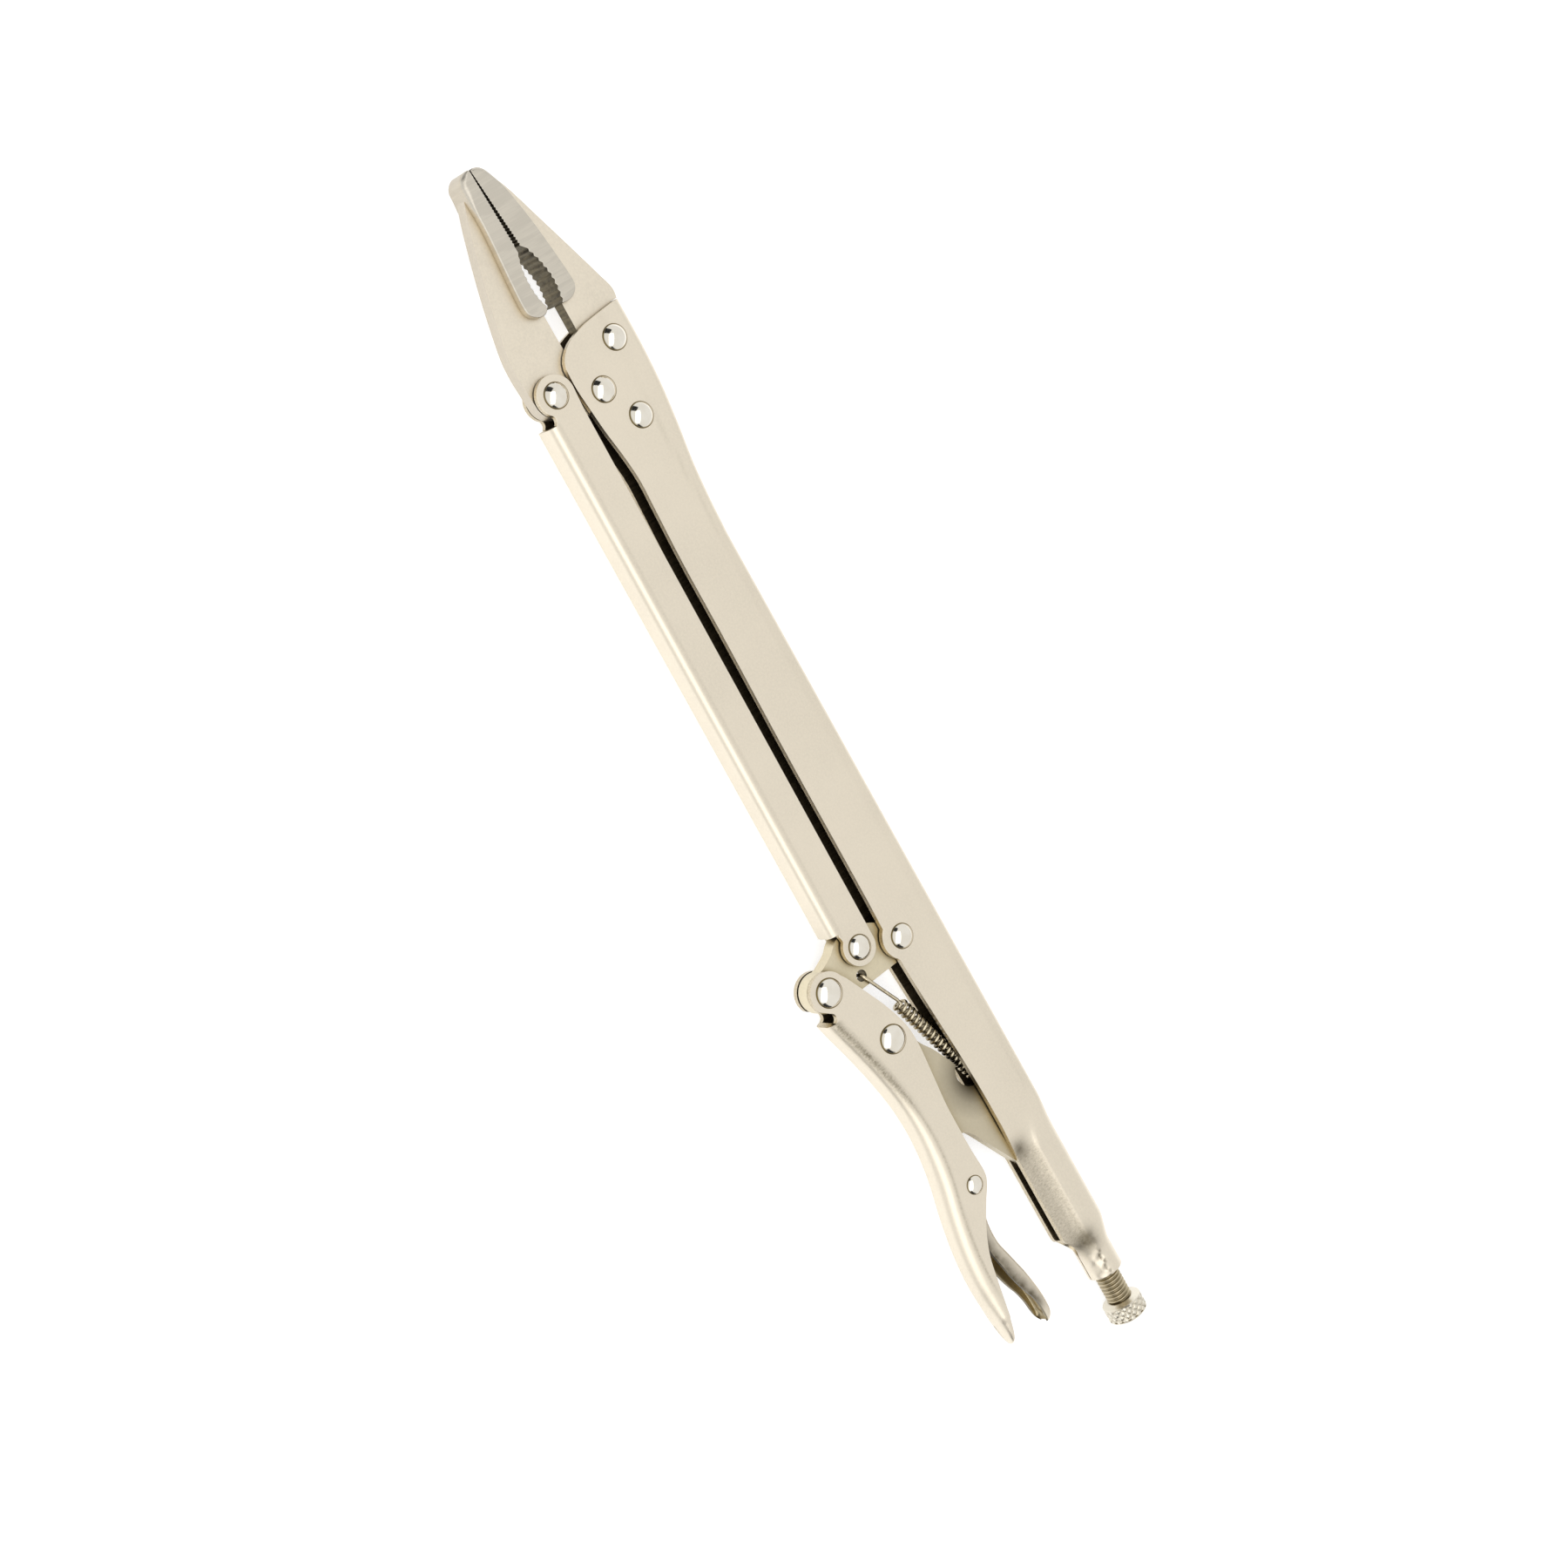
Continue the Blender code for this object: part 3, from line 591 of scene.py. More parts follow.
def lobe_rows(count):
    """The front of the channel, whose flanges end in a curve and not square: a Coons patch."""
    right = resample(smooth(FRONT_EDGE, 8), FLANGE_POINTS)[::-1]
    rows = []
    for s in np.linspace(0, 1, count)[1:]:
        low_x = LOBE_X + s * (BODY_FRONT_X - LOBE_X)
        high_x = LOBE_X + s * (FRONT_EDGE[-1][0] - LOBE_X)
        section = bent_section(body_edge(high_x), line(BODY_WEB, low_x), OUTER_HALF, BEND_RADIUS)
        row = row_at(low_x, section)
        for i in range(FLANGE_POINTS):
            f = 1 - i / (FLANGE_POINTS - 1)
            low = np.array([low_x, line(BODY_WEB, low_x) + BEND_RADIUS])
            high = np.array([high_x, body_edge(high_x)])
            left_low = np.array([LOBE_X, line(BODY_WEB, LOBE_X) + BEND_RADIUS])
            left_high = np.array([LOBE_X, body_edge(LOBE_X)])
            left = left_low + f * (left_high - left_low)
            corners = ((1 - s) * (1 - f) * left_low + (1 - s) * f * left_high
                       + s * (1 - f) * right[-1] + s * f * right[0])
            row[i, :2] = (1 - f) * low + f * high + (1 - s) * left + s * right[i] - corners
        rows.append(row)
    return rows


def body_channel():
    rows = with_far_side(body_rows())
    points = np.concatenate(rows)
    x, y, z = points.T
    rolled = (1 - ramp(x, 24, 27)) * ramp(y, -1.5, 0.5)
    lumps = 0.10 * np.sin(1.5 * x + 1.1 * y) + 0.08 * np.sin(0.9 * x - 1.8 * y + 1)
    seam = np.exp(-((y - 1.6 - 0.35 * np.sin(1.7 * x)) / 0.32)**2)
    points[:, 2] += np.clip(z / 3, -1, 1) * rolled * (lumps - 0.42 * seam - 0.1)
    squeezed = ramp(y, 1.0, 2.6) * (1 - ramp(x, 62, 67)) * ramp(x, 25, 29)
    burnt = 0.8 * np.exp(-((x - 65.5) / 3.2)**2 - ((y - 7.0) / 3.0)**2)
    burnt += 1.0 * np.exp(-((x - 29.5) / 3.8)**2 - ((y - 2.6) / 3.2)**2)
    burnt += 0.9 * rolled * seam
    bend_line = 0.16 * np.exp(-((y - (WEB_Y + BEND_RADIUS + 0.6)) / 0.5)**2) * (x > 80)
    wear = 0.56 * squeezed + bend_line
    obj = piece("body_channel_sheet", points, grid_faces(len(rows), len(rows[0])), NICKEL, "body",
                "body_channel", wear, stain_and_shade=np.clip(burnt, 0, 1))
    thicken(obj)


# ---------------------------------------------------------------- link arm and lever

def flange(points, faces, wear, edge_indices, outline):
    """Adds the flat ends of a channel's two flanges: they share edge_indices with the skin."""
    for side, shared in ((1, edge_indices[0]), (-1, edge_indices[1])):
        first = len(points)
        points.extend([(x, y, side * OUTER_HALF) for x, y in outline])
        wear.extend([0.0] * len(outline))
        faces.append(list(shared) + list(range(first, len(points))))


ARM_REAR_KNUCKLE = 5.4
ARM_FRONT_KNUCKLE = 5.8
ARM_SLOPE = (ARM_FRONT_PIVOT[1] - ARM_REAR_PIVOT[1]) / (ARM_FRONT_PIVOT[0] - ARM_REAR_PIVOT[0])
ARM_WEB_RISE = 6.6
ARM_WEB_REAR_X = 151.3
ARM_WEB_FRONT_X = 312.0


def arm_line(x, rise):
    return ARM_REAR_PIVOT[1] + ARM_SLOPE * (x - ARM_REAR_PIVOT[0]) + rise


def link_arm():
    rows = []
    for x in np.linspace(ARM_WEB_REAR_X, ARM_WEB_FRONT_X, 30):
        section = bent_section(arm_line(x, -5.4), arm_line(x, ARM_WEB_RISE), OUTER_HALF, BEND_RADIUS)
        rows.append(row_at(x, section))
    rows = with_far_side(rows)
    width = len(rows[0])
    points = [tuple(p) for row in rows for p in row]
    faces = grid_faces(len(rows), width)
    wear = [0.22 * math.exp(-((p[1] - arm_line(p[0], ARM_WEB_RISE - BEND_RADIUS - 0.4)) / 0.5)**2)
            for p in points]
    rear_near = list(range(FLANGE_POINTS))
    rear_far = [width - 1 - i for i in rear_near]
    top = arm_line(ARM_WEB_REAR_X, ARM_WEB_RISE - BEND_RADIUS)
    rear = [(ARM_WEB_REAR_X - 0.7, top + 0.15), (ARM_WEB_REAR_X - 1.7, top - 0.1)]
    rear += arc(ARM_REAR_PIVOT, ARM_REAR_KNUCKLE, 44, 270, 32)
    flange(points, faces, wear, (rear_near, rear_far), rear)
    last = (len(rows) - 1) * width
    front_near = [last + i for i in rear_near]
    front_far = [last + i for i in rear_far]
    notch_y = arm_line(ARM_WEB_FRONT_X, ARM_WEB_RISE)
    front = arc((ARM_WEB_FRONT_X + 1.6, notch_y - 1.5), 1.7, 215, 330, 10)
    front += arc(ARM_FRONT_PIVOT, ARM_FRONT_KNUCKLE, 124, -91, 32)
    flange(points, faces, wear, (front_near, front_far), front)
    thicken(piece("link_arm_sheet", points, faces, NICKEL, "arm", "link_arm", wear))


LEVER_KNUCKLE = 6.1
LEVER_WEB_END_X = 131.0
LEVER_WEB = [(19.0, 38.9), (21, 39.5), (24, 39.9), (28, 40.3), (38, 40.9), (46, 40.6), (54, 39.6), (63, 37.8),
             (73, 35.3), (83, 33.7), (91, 33.2), (99, 33.6), (108, 35.0), (118, 37.3), (126, 39.5),
             (131, 40.7), (133.5, 41.1)]
LEVER_EDGE = [(19.0, 38.7), (21, 37.9), (30, 36.2), (40, 34.2), (46, 32.8), (51, 30.8), (56, 28.0),
              (61, 24.6), (64.5, 22.0), (68, 20.9), (76, 21.2), (90, 21.1), (100, 20.2), (111, 19.2),
              (118, 19.7), (126, 22.3), (134, 26.0), (141, 29.4)]
LEVER_HALF = [(19.0, 0.9), (19.6, 2.0), (21, 3.0), (24, 3.9), (29, 4.5), (36, OUTER_HALF), (133, OUTER_HALF)]
LEVER_BEND = [(19.0, 4.6), (70, 4.5), (84, 4.0), (98, 3.2), (110, 2.7), (133, 2.4)]


def lever_handle():
    rows = []
    for x in np.concatenate([np.linspace(19.0, 24, 11), np.linspace(25, 70, 46), np.linspace(71.5, 131, 42)]):
        edge, web, half = line(LEVER_EDGE, x), line(LEVER_WEB, x), line(LEVER_HALF, x)
        radius_y = min(line(LEVER_BEND, x), 0.8 * (web - edge))
        radius_z = min(line(LEVER_BEND, x), half)
        section = bent_section(edge, web, half, radius_y, radius_z)
        rows.append(row_at(x, section))
    rows = with_far_side(rows)
    width = len(rows[0])
    points = [tuple(p) for row in rows for p in row]
    faces = grid_faces(len(rows), width)
    x, y, z = np.array(points).T
    web = line(LEVER_WEB, x)
    start = web - line(LEVER_BEND, x)
    wear = np.exp(-((y - (start + 0.3)) / 1.3)**2) * (np.abs(z) > 2.6) * ramp(x, 90, 112)
    wear += 0.5 * np.exp(-((y - start + 0.1) / 0.45)**2) * ramp(x, 30, 45) * (1 - ramp(x, 95, 110))
    wear = np.clip(wear, 0, 1).tolist()
    last = (len(rows) - 1) * width
    near = [last + i for i in range(FLANGE_POINTS)]
    far = [last + width - 1 - i for i in range(FLANGE_POINTS)]
    outline = arc((LEVER_WEB_END_X + 1.7, 39.2), 1.8, 205, 335, 10)
    outline += arc(LEVER_PIVOT, LEVER_KNUCKLE, 118, -68, 32)
    outline += [p for p in smooth(LEVER_EDGE, 4)[::-1] if LEVER_WEB_END_X + 0.5 < p[0] < 140.8]
    flange(points, faces, wear, (near, far), outline)
    lever = piece("lever_handle_sheet", points, faces, NICKEL, "lever", "lever_handle", wear)
    thicken(lever, thinned=(19, 34))


RELEASE_UNDER = [(17.3, 25.2), (17.9, 24.3), (19.4, 23.5), (22.5, 23.2), (28, 23.5), (35, 24.6), (41, 25.9),
                 (48, 26.5), (54, 26.0), (59, 24.0), (62.5, 21.6), (66.5, 20.9), (71, 21.6), (76, 23.2),
                 (78.7, 24.2)]
RELEASE_TOP = [(17.3, 25.7), (19, 25.95), (21.5, 26.1), (24, 26.3), (27.5, 27.1), (31, 28.4), (36, 29.8),
               (42, 30.7), (50, 30.8), (58, 30.4), (66.5, 30.0), (74, 28.6), (78.7, 26.8)]
RELEASE_HALF = [(17.3, 1.4), (17.6, 2.4), (18.4, 3.4), (20.5, 4.2), (24, 4.5), (28, 4.6), (40, 4.5),
                (46, 2.6), (52, 2.3), (78.7, 2.3)]


def release_lever():
    rows = []
    places = [np.linspace(17.3, 21, 16), np.linspace(21.5, 50, 44), np.linspace(52, 78.7, 20)]
    for x in np.concatenate(places):
        under, top, half = line(RELEASE_UNDER, x), line(RELEASE_TOP, x), line(RELEASE_HALF, x)
        radius_y = min(1.9, 0.9 * (top - under))
        radius_z = min(2.2, 0.9 * half)
        wall = np.stack([np.linspace(top, under + radius_y, 6), np.full(6, half)], 1)
        angles = np.radians(np.linspace(0, 90, 11))[1:]
        bowl = np.stack([under + radius_y * (1 - np.sin(angles)), half - radius_z * (1 - np.cos(angles))], 1)
        sole = np.stack([np.full(3, under), np.linspace(half - radius_z, 0, 4)[1:]], 1)
        section = np.concatenate([wall, bowl, sole])
        rows.append(row_at(x, section))
    rows = with_far_side(rows)
    points = np.concatenate(rows)
    x, y, z = points.T
    under, top = line(RELEASE_UNDER, x), line(RELEASE_TOP, x)
    height = (y - under) / np.maximum(top - under, 0.1)
    # Painted shade: darker up the near wall towards the main lever.
    dirt_and_shade = 0.95 * np.clip((height - 0.15) / 0.7, 0, 1) * ramp(x, 20.5, 27) * (z > 1)
    obj = piece("release_lever_spoon", points, grid_faces(len(rows), len(rows[0])), NICKEL, "release",
                "release_lever", stain_and_shade=dirt_and_shade)
    thicken(obj, 1.25, (17.3, 21), SHADED_NICKEL, SHADED_RIM)


# ---------------------------------------------------------------- plates

def outline_mesh(name, loops, half):
    """A mesh of flat loops of drawing points, the first the outline and the rest its holes."""
    curve = bpy.data.curves.new(name, "CURVE")
    curve.dimensions = "2D"
    curve.fill_mode = "BOTH"
    curve.extrude = half * MM
    for loop in loops:
        spline = curve.splines.new("POLY")
        spline.points.add(len(loop) - 1)
        for point, (x, y) in zip(spline.points, loop):
            point.co = ((x - ORIGIN[0]) * MM, (y - ORIGIN[1]) * MM, 0, 1)
        spline.use_cyclic_u = True
    mesh = mesh_of_curve(name, curve)
    shape = bmesh.new()
    shape.from_mesh(mesh)
    bmesh.ops.remove_doubles(shape, verts=shape.verts, dist=1e-6)
    bmesh.ops.dissolve_limit(shape, angle_limit=1e-4, verts=shape.verts, edges=shape.edges)
    bmesh.ops.recalc_face_normals(shape, faces=shape.faces)
    bmesh.ops.translate(shape, verts=shape.verts, vec=(0, 0, -ORIGIN[2] * MM))
    shape.to_mesh(mesh)
    shape.free()
    return mesh


def dress(mesh, name, look, body, stands_for, wear, dark):
    """Makes a flat mesh a piece, whose side walls are painted dark as shade where dark(x, y, normal) says so;
    the jaws' other side walls take a darker copy of the jaw steel, also painted shade.
    """
    mesh.materials.append(look)
    mesh.materials.append(TOOTH_SHADE)
    mesh.materials.append(SHADED_JAW_RIM if look is JAW_STEEL else look)
    for face in mesh.polygons:
        x, y, _ = np.array(face.center) / MM + ORIGIN
        if abs(face.normal.z) < 0.5:
            face.material_index = 1 if dark and dark(x, y, face.normal) else 2
    write_values(mesh, "wear", np.full(len(mesh.vertices), wear))
    return settle(name, mesh, body, stands_for)


def plate(name, loops, half, look, body, stands_for, rounding=0.35, wear=0.0, dark=None):
    obj = dress(outline_mesh(name, loops, half), name, look, body, stands_for, wear, dark)
    ease(obj, rounding, 50, 3)
    return obj


ROUND_STEPS = 6


def rounded_plate(name, outline, half, look, body, stands_for, radius_at, wear=0.0, dark=None):
    """A flat piece of one outline, whose rims are rounded by radius_at(x, y)."""
    loop = np.array(outline, float)
    loop = loop[np.linalg.norm(loop - np.roll(loop, 1, 0), axis=1) > 0.02]
    if np.sum(loop[:, 0] * np.roll(loop[:, 1], -1) - np.roll(loop[:, 0], -1) * loop[:, 1]) < 0:
        loop = loop[::-1]
    ahead = np.roll(loop, -1, 0) - loop
    ahead /= np.linalg.norm(ahead, axis=1)[:, None]
    along = ahead + np.roll(ahead, 1, 0)
    along /= np.linalg.norm(along, axis=1)[:, None]
    inward = np.stack([-along[:, 1], along[:, 0]], 1)
    radii = np.array([radius_at(x, y) for x, y in loop])
    for _ in range(40):
        inner = loop + inward * radii[:, None]
        gone = np.sum((np.roll(inner, -1, 0) - inner) * ahead, axis=1) < 0.01
        radii = np.where(gone | np.roll(gone, 1), 0.85 * radii, radii)
    rings = []
    for a in np.radians(np.linspace(0, 90, ROUND_STEPS + 1)):
        spot = loop + inward * (radii * (1 - math.cos(a)))[:, None]
        rings.append(np.column_stack([spot, half - radii * (1 - math.sin(a))]))
    rings = [ring * (1, 1, -1) for ring in reversed(rings)] + rings
    count = len(loop)
    faces = grid_faces(len(rings), count, closed=True)
    faces += [list(range(count)), list(range((len(rings) - 1) * count, len(rings) * count))]
    mesh = bpy.data.meshes.new(name)
    mesh.from_pydata(((np.concatenate(rings) - ORIGIN) * MM).tolist(), [], faces)
    face_outwards(mesh)
    flat_faces(dress(mesh, name, look, body, stands_for, wear, dark))


def hole(center, radius):
    return arc(center, radius, 0, 360, 40)[:-1]


def rocker_plate():
    right = smooth([(145.2, 9.3), (147.6, 12.5), (149.6, 16.5), (150.3, 20), (150.3, 23.0), (149.2, 25.9),
                    (147.3, 28.2), (146.0, 31.0), (145.1, 33.2)], 5)
    outline = arc(LEVER_PIVOT, 5.9, -18, 180, 36) + arc(ROCKER_PIVOT, 6.1, 180, 338, 30) + right[:-1]
    # The spring hole's wall is painted dark as shade.
    plate("rocker_plate_blank", [outline, hole(SPRING_HOLE, 1.7)], PLATE_HALF, YELLOWED, "rocker",
          "rocker_plate", dark=lambda x, y, _: math.dist((x, y), SPRING_HOLE) < 2)


NOSE_RADIUS = 5.0
NOTCH_CENTER = (94.1, 7.7)
NOTCH_RADIUS = 5.0


def toggle_link():
    nose = arc(TOGGLE_NOSE, NOSE_RADIUS, 118, 275, 24)
    under = smooth([(57.4, -5.0), (64, -4.9), (70, -3.6), (75, -1.0), (79.5, 1.8), (84, 8.0)], 5)
    notch = arc(NOTCH_CENTER, NOTCH_RADIUS, 168, 42, 22)
    boss = arc(TOGGLE_PIVOT, 6.3, -35, 110, 24)
    back = smooth([(110, 29.6), (100, 29.4), (88, 27.4), (83.5, 25.2), (81.2, 22.4), (80.3, 20.0),
                   (79.3, 18.3), (77.5, 16.9), (75, 15.5), (70, 12.9), (62, 8.7), (56, 5.3)], 5)
    front = smooth([(98.4, 11.2), (101.5, 12.7), (105.8, 14.8), (111, 18.0), (119.5, 20.4)], 5)
    outline = nose[:-1] + under[1:-1] + notch + front[1:-1] + boss + back[1:-1]
    # Painted shade: the toggle link takes the darker shaded nickel, and its notch wall is painted dark.
    plate("toggle_link_blank", [outline], PLATE_HALF - 0.1, SHADED_NICKEL, "toggle",
          "toggle_link", 0.45, dark=lambda x, y, _: math.dist((x, y), NOTCH_CENTER) < NOTCH_RADIUS + 0.6)


# ---------------------------------------------------------------- jaws

def toothed(path, pitch, depths, inside):
    """The path with teeth cut inwards, whose depth goes from the first of depths to the second."""
    path = np.array(path, float)
    run = run_along(path)
    count = max(2, int(round(run[-1] / pitch)))
    made = []
    for i in range(count):
        for share, height in ((0.0, 0.0), (0.12, 0.0), (0.5, 1.0), (0.62, 1.0)):
            at = run[-1] * (i + share) / count
            spot = np.array([np.interp(at, run, path[:, k]) for k in range(2)])
            tall = np.interp(at, (0, run[-1]), depths) * height
            made.append(tuple(spot + tall * np.array(inside)))
    return made


FINE_PITCH = 0.9
COARSE_PITCH = 1.75
FIXED_HOLLOW = [(339.0, 3.3), (342.5, 2.6), (346.5, 2.4), (351.0, 3.2), (354.0, 4.2), (356.4, 5.2)]
MOVING_HOLLOW = [(356.0, 7.6), (352.0, 8.8), (347.0, 9.2), (343.0, 8.8), (340.6, 8.0)]


def mouth(x):
    """The middle line of the mouth."""
    return 5.7 + 0.062 * (x - 339)


def toothed_wall(x, y, normal):
    """Whether a side wall of a jaw faces the mouth, where its faces are painted dark as shade."""
    return x > 326 and abs(y - mouth(x)) < 4.6 and normal.y * (mouth(x) - y) > 0


def fixed_rim(x, y):
    """How much the fixed pad's rims are rounded: little at the teeth, more outside and at the tip."""
    if y > mouth(x) - (3.9 if x < 357 else 1.1) and 338.9 < x < 379.9:
        return 0.1
    return 0.3 + 1.0 * float(ramp(x, 370, 378))


def moving_rim(x, y):
    """The same for the moving pad, whose tip is rounder on its outside."""
    if y < mouth(x) + (3.9 if x < 357 else 1.1) and 340.2 < x < 380:
        return 0.1
    return 0.4 + 1.4 * float(ramp(x, 367, 377) * ramp(y, 8.5, 11))


def fixed_jaw():
    tang = arc(JAW_PIVOT, 6.7, -28, -155, 24)
    rear = arc(JAW_RIVET_REAR, 4.9, 80, 215, 16)
    belly = smooth([(332.8, -13.2), (335.8, -13.5), (340.6, -11.9), (350.6, -8.3), (360.6, -4.6),
                    (370.6, -0.9), (375.6, 1.5), (378.4, 3.9), (378.8, 6.2)], 6)
    outline = (tang + rear + [(300.5, -8.2), (309.5, -10.2), (320, -10.7), (332.8, -10.7)] + belly
               + [(357.6, 4.4), (354, 2.6), (348, 1.0), (341, 1.0), (338.9, 2.3), (331, 2.3), (324, 1.7)])
    plate("fixed_jaw_plate", [outline], PLATE_HALF, JAW_STEEL, "body", "fixed_jaw", 0.5,
          dark=toothed_wall)
    fine = toothed([(357.4, 6.2), (380.2, 8.15)], FINE_PITCH, (0.36, 0.05), (0.09, -0.99))
    coarse = toothed(smooth(FIXED_HOLLOW, 8), COARSE_PITCH, (0.42, 0.42), (-0.05, -0.99))
    outside = smooth([(380.4, 8.0), (380.6, 6.6), (380.0, 4.9), (378.3, 3.5), (375.2, 2.2), (370.0, 0.9),
                      (360.6, -0.9), (350.6, -2.2), (343.5, -2.9), (341.2, -2.6), (339.6, -1.2),
                      (338.8, 0.8), (338.8, 2.4)], 5)
    rounded_plate("fixed_jaw_pad", coarse + fine + outside, PAD_HALF, JAW_STEEL, "body", None,
                  fixed_rim, 1.0, toothed_wall)


def moving_jaw():
    lobe = arc(JAW_PIVOT, 6.0, 162, 335, 30)
    neck = smooth([(322.5, 7.2), (324.5, 8.2), (327, 8.65), (338.6, 8.75)], 5)
    back = smooth([(376.0, 9.6), (376.2, 11.0), (375.0, 12.4), (372.4, 13.6), (365.6, 16.0),
                   (350.6, 20.4), (335.6, 23.9), (329, 24.6), (323, 24.4), (318.9, 24.2)], 6)
    hollow = [(341.5, 10.2), (347, 10.8), (352, 10.3), (357.6, 9.0)]
    outline = lobe + neck + hollow + back + arc(ARM_FRONT_PIVOT, ARM_FRONT_KNUCKLE, 90, 160, 12)[1:]
    plate("moving_jaw_plate", [outline], PLATE_HALF, JAW_STEEL, "jaw", "moving_jaw", 0.6,
          dark=toothed_wall)
    fine = toothed([(380.4, 8.4), (357.6, 7.4)], FINE_PITCH, (0.05, 0.3), (-0.03, 0.99))
    coarse = toothed(smooth(MOVING_HOLLOW, 8), COARSE_PITCH, (0.2, 0.2), (0.0, 0.99))
    tip = arc((376.9, 9.0), 3.8, 92, -6, 16)
    pad = smooth([(340.4, 8.0), (339.3, 8.3), (338.5, 9.6), (338.7, 11.6), (340.2, 13.6), (342.8, 14.3),
                  (350.6, 13.9), (360.6, 13.1), (367.0, 12.75), (372.0, 12.9), (376.0, 12.8)], 6)
    pad = pad + tip + fine + coarse
    rounded_plate("moving_jaw_pad", pad, PAD_HALF, JAW_STEEL, "jaw", None, moving_rim, 1.0,
                  toothed_wall)


# ---------------------------------------------------------------- turned pieces

RIVET_SIDES = 56


def capped_tube(rings, sides):
    """Faces of a tube of rings with sides points each, closed at both ends."""
    count = rings * sides
    return grid_faces(rings, sides, closed=True) + [list(range(sides)), list(range(count - sides, count))]


def lathe(profile, center):
    """Points and faces of a (radius, z) profile turned about Z at a drawing point."""
    points = []
    for radius, z in profile:
        for a in np.linspace(0, 2 * math.pi, RIVET_SIDES, endpoint=False):
            points.append((center[0] + radius * math.cos(a), center[1] + radius * math.sin(a), z))
    return points, capped_tube(len(profile), RIVET_SIDES)


def rivet(node, center, size, body):
    shank, head, height = size
    under = OUTER_HALF + HEAD_GAP
    sphere = (head**2 + height**2) / (2 * height)
    rise = math.asin(head / sphere)
    dome = [(sphere * math.sin(a), under + height - sphere + sphere * math.cos(a))
            for a in np.linspace(0.02, rise, 14)]
    rim = [(head, under), (head - 0.15, under - 0.02), (shank, under - 0.02)]
    half = dome + rim
    profile = half + [(r, -z) for r, z in reversed(half)]
    points, faces = lathe(profile, center)
    # Painted shade: the rim and shank take wear 1, an olive shadow line round the head.
    ring = [float(r > head - 0.26 or abs(z) < under) for r, z in profile for _ in range(RIVET_SIDES)]
    piece(f"{node}_domes", points, faces, RIVET, body, node, ring)


def along_x(profile_rows, sides):
    """Points and faces of rows of (x, radius at each of the sides) about the screw's axis."""
    points = []
    angles = np.linspace(0, 2 * math.pi, sides, endpoint=False)
    for x, radii in profile_rows:
        for a, radius in zip(angles, np.broadcast_to(radii, sides)):
            points.append((x, radius * math.cos(a), radius * math.sin(a)))
    return points, capped_tube(len(profile_rows), sides)


def adjusting_screw():
    sides = 144
    angles = np.linspace(0, 2 * math.pi, sides, endpoint=False)
    rounding = [(0.0, 1.6), (0.03, 1.1), (0.18, 0.62), (0.5, 0.2), (0.85, 0.04)]
    rows = [(0.35, np.full(sides, 3.0))] + [(x, np.full(sides, KNOB_RADIUS - inset)) for x, inset in rounding]
    for x in np.linspace(0.95, KNOB_LENGTH - 1.05, 40):
        one = np.abs(((angles * KNURL_STARTS / (2 * math.pi) + x / KNURL_PITCH) % 1) - 0.5) * 2
        two = np.abs(((angles * KNURL_STARTS / (2 * math.pi) - x / KNURL_PITCH) % 1) - 0.5) * 2
        groove = np.maximum(ramp(one, 0.45, 1.0), ramp(two, 0.45, 1.0))
        rows.append((x, KNOB_RADIUS - 0.02 - KNURL_DEPTH * groove))
    shoulder = [(1.0, 0.03), (0.75, 0.25), (0.6, 0.6), (0.5, 1.0), (0.12, 1.9), (0.0, 2.2)]
    rows += [(KNOB_LENGTH - x, np.full(sides, KNOB_RADIUS - inset)) for x, inset in shoulder]
    rows += [(KNOB_LENGTH + 0.05, np.full(sides, SCREW_RADIUS - THREAD_DEPTH))] * 2
    knob_rows = len(rows) - 2
    for x in np.arange(KNOB_LENGTH + 0.1, SCREW_TIP_X - 1.0, THREAD_PITCH / 10):
        turn = (x / THREAD_PITCH - angles / (2 * math.pi)) % 1
        crest = 1 - np.abs(turn - 0.5) * 2
        rows.append((x, SCREW_RADIUS - THREAD_DEPTH + THREAD_DEPTH * ramp(crest, 0.1, 0.85)))
    rows.append((SCREW_TIP_X - 0.9, np.full(sides, SCREW_RADIUS - THREAD_DEPTH)))
    rows.append((SCREW_TIP_X, np.full(sides, SCREW_RADIUS - 1.3)))
    points, faces = along_x(rows, sides)
    wear = np.zeros(len(points))
    wear[:knob_rows * sides] = 1.0
    piece("adjusting_screw_thread", points, faces, THREAD, "screw", "adjusting_screw",
          wear, sharp=50)


# ---------------------------------------------------------------- spring

WIRE_RADIUS = 0.52
COIL_RADIUS = 1.8
COIL_TURNS = 19
COIL_STEPS = 28
COIL_START = Vector((91.0, 5.9, 0))
COIL_END = Vector((122.7, 16.3, 0))
SPRING_TAB_X = 86.0


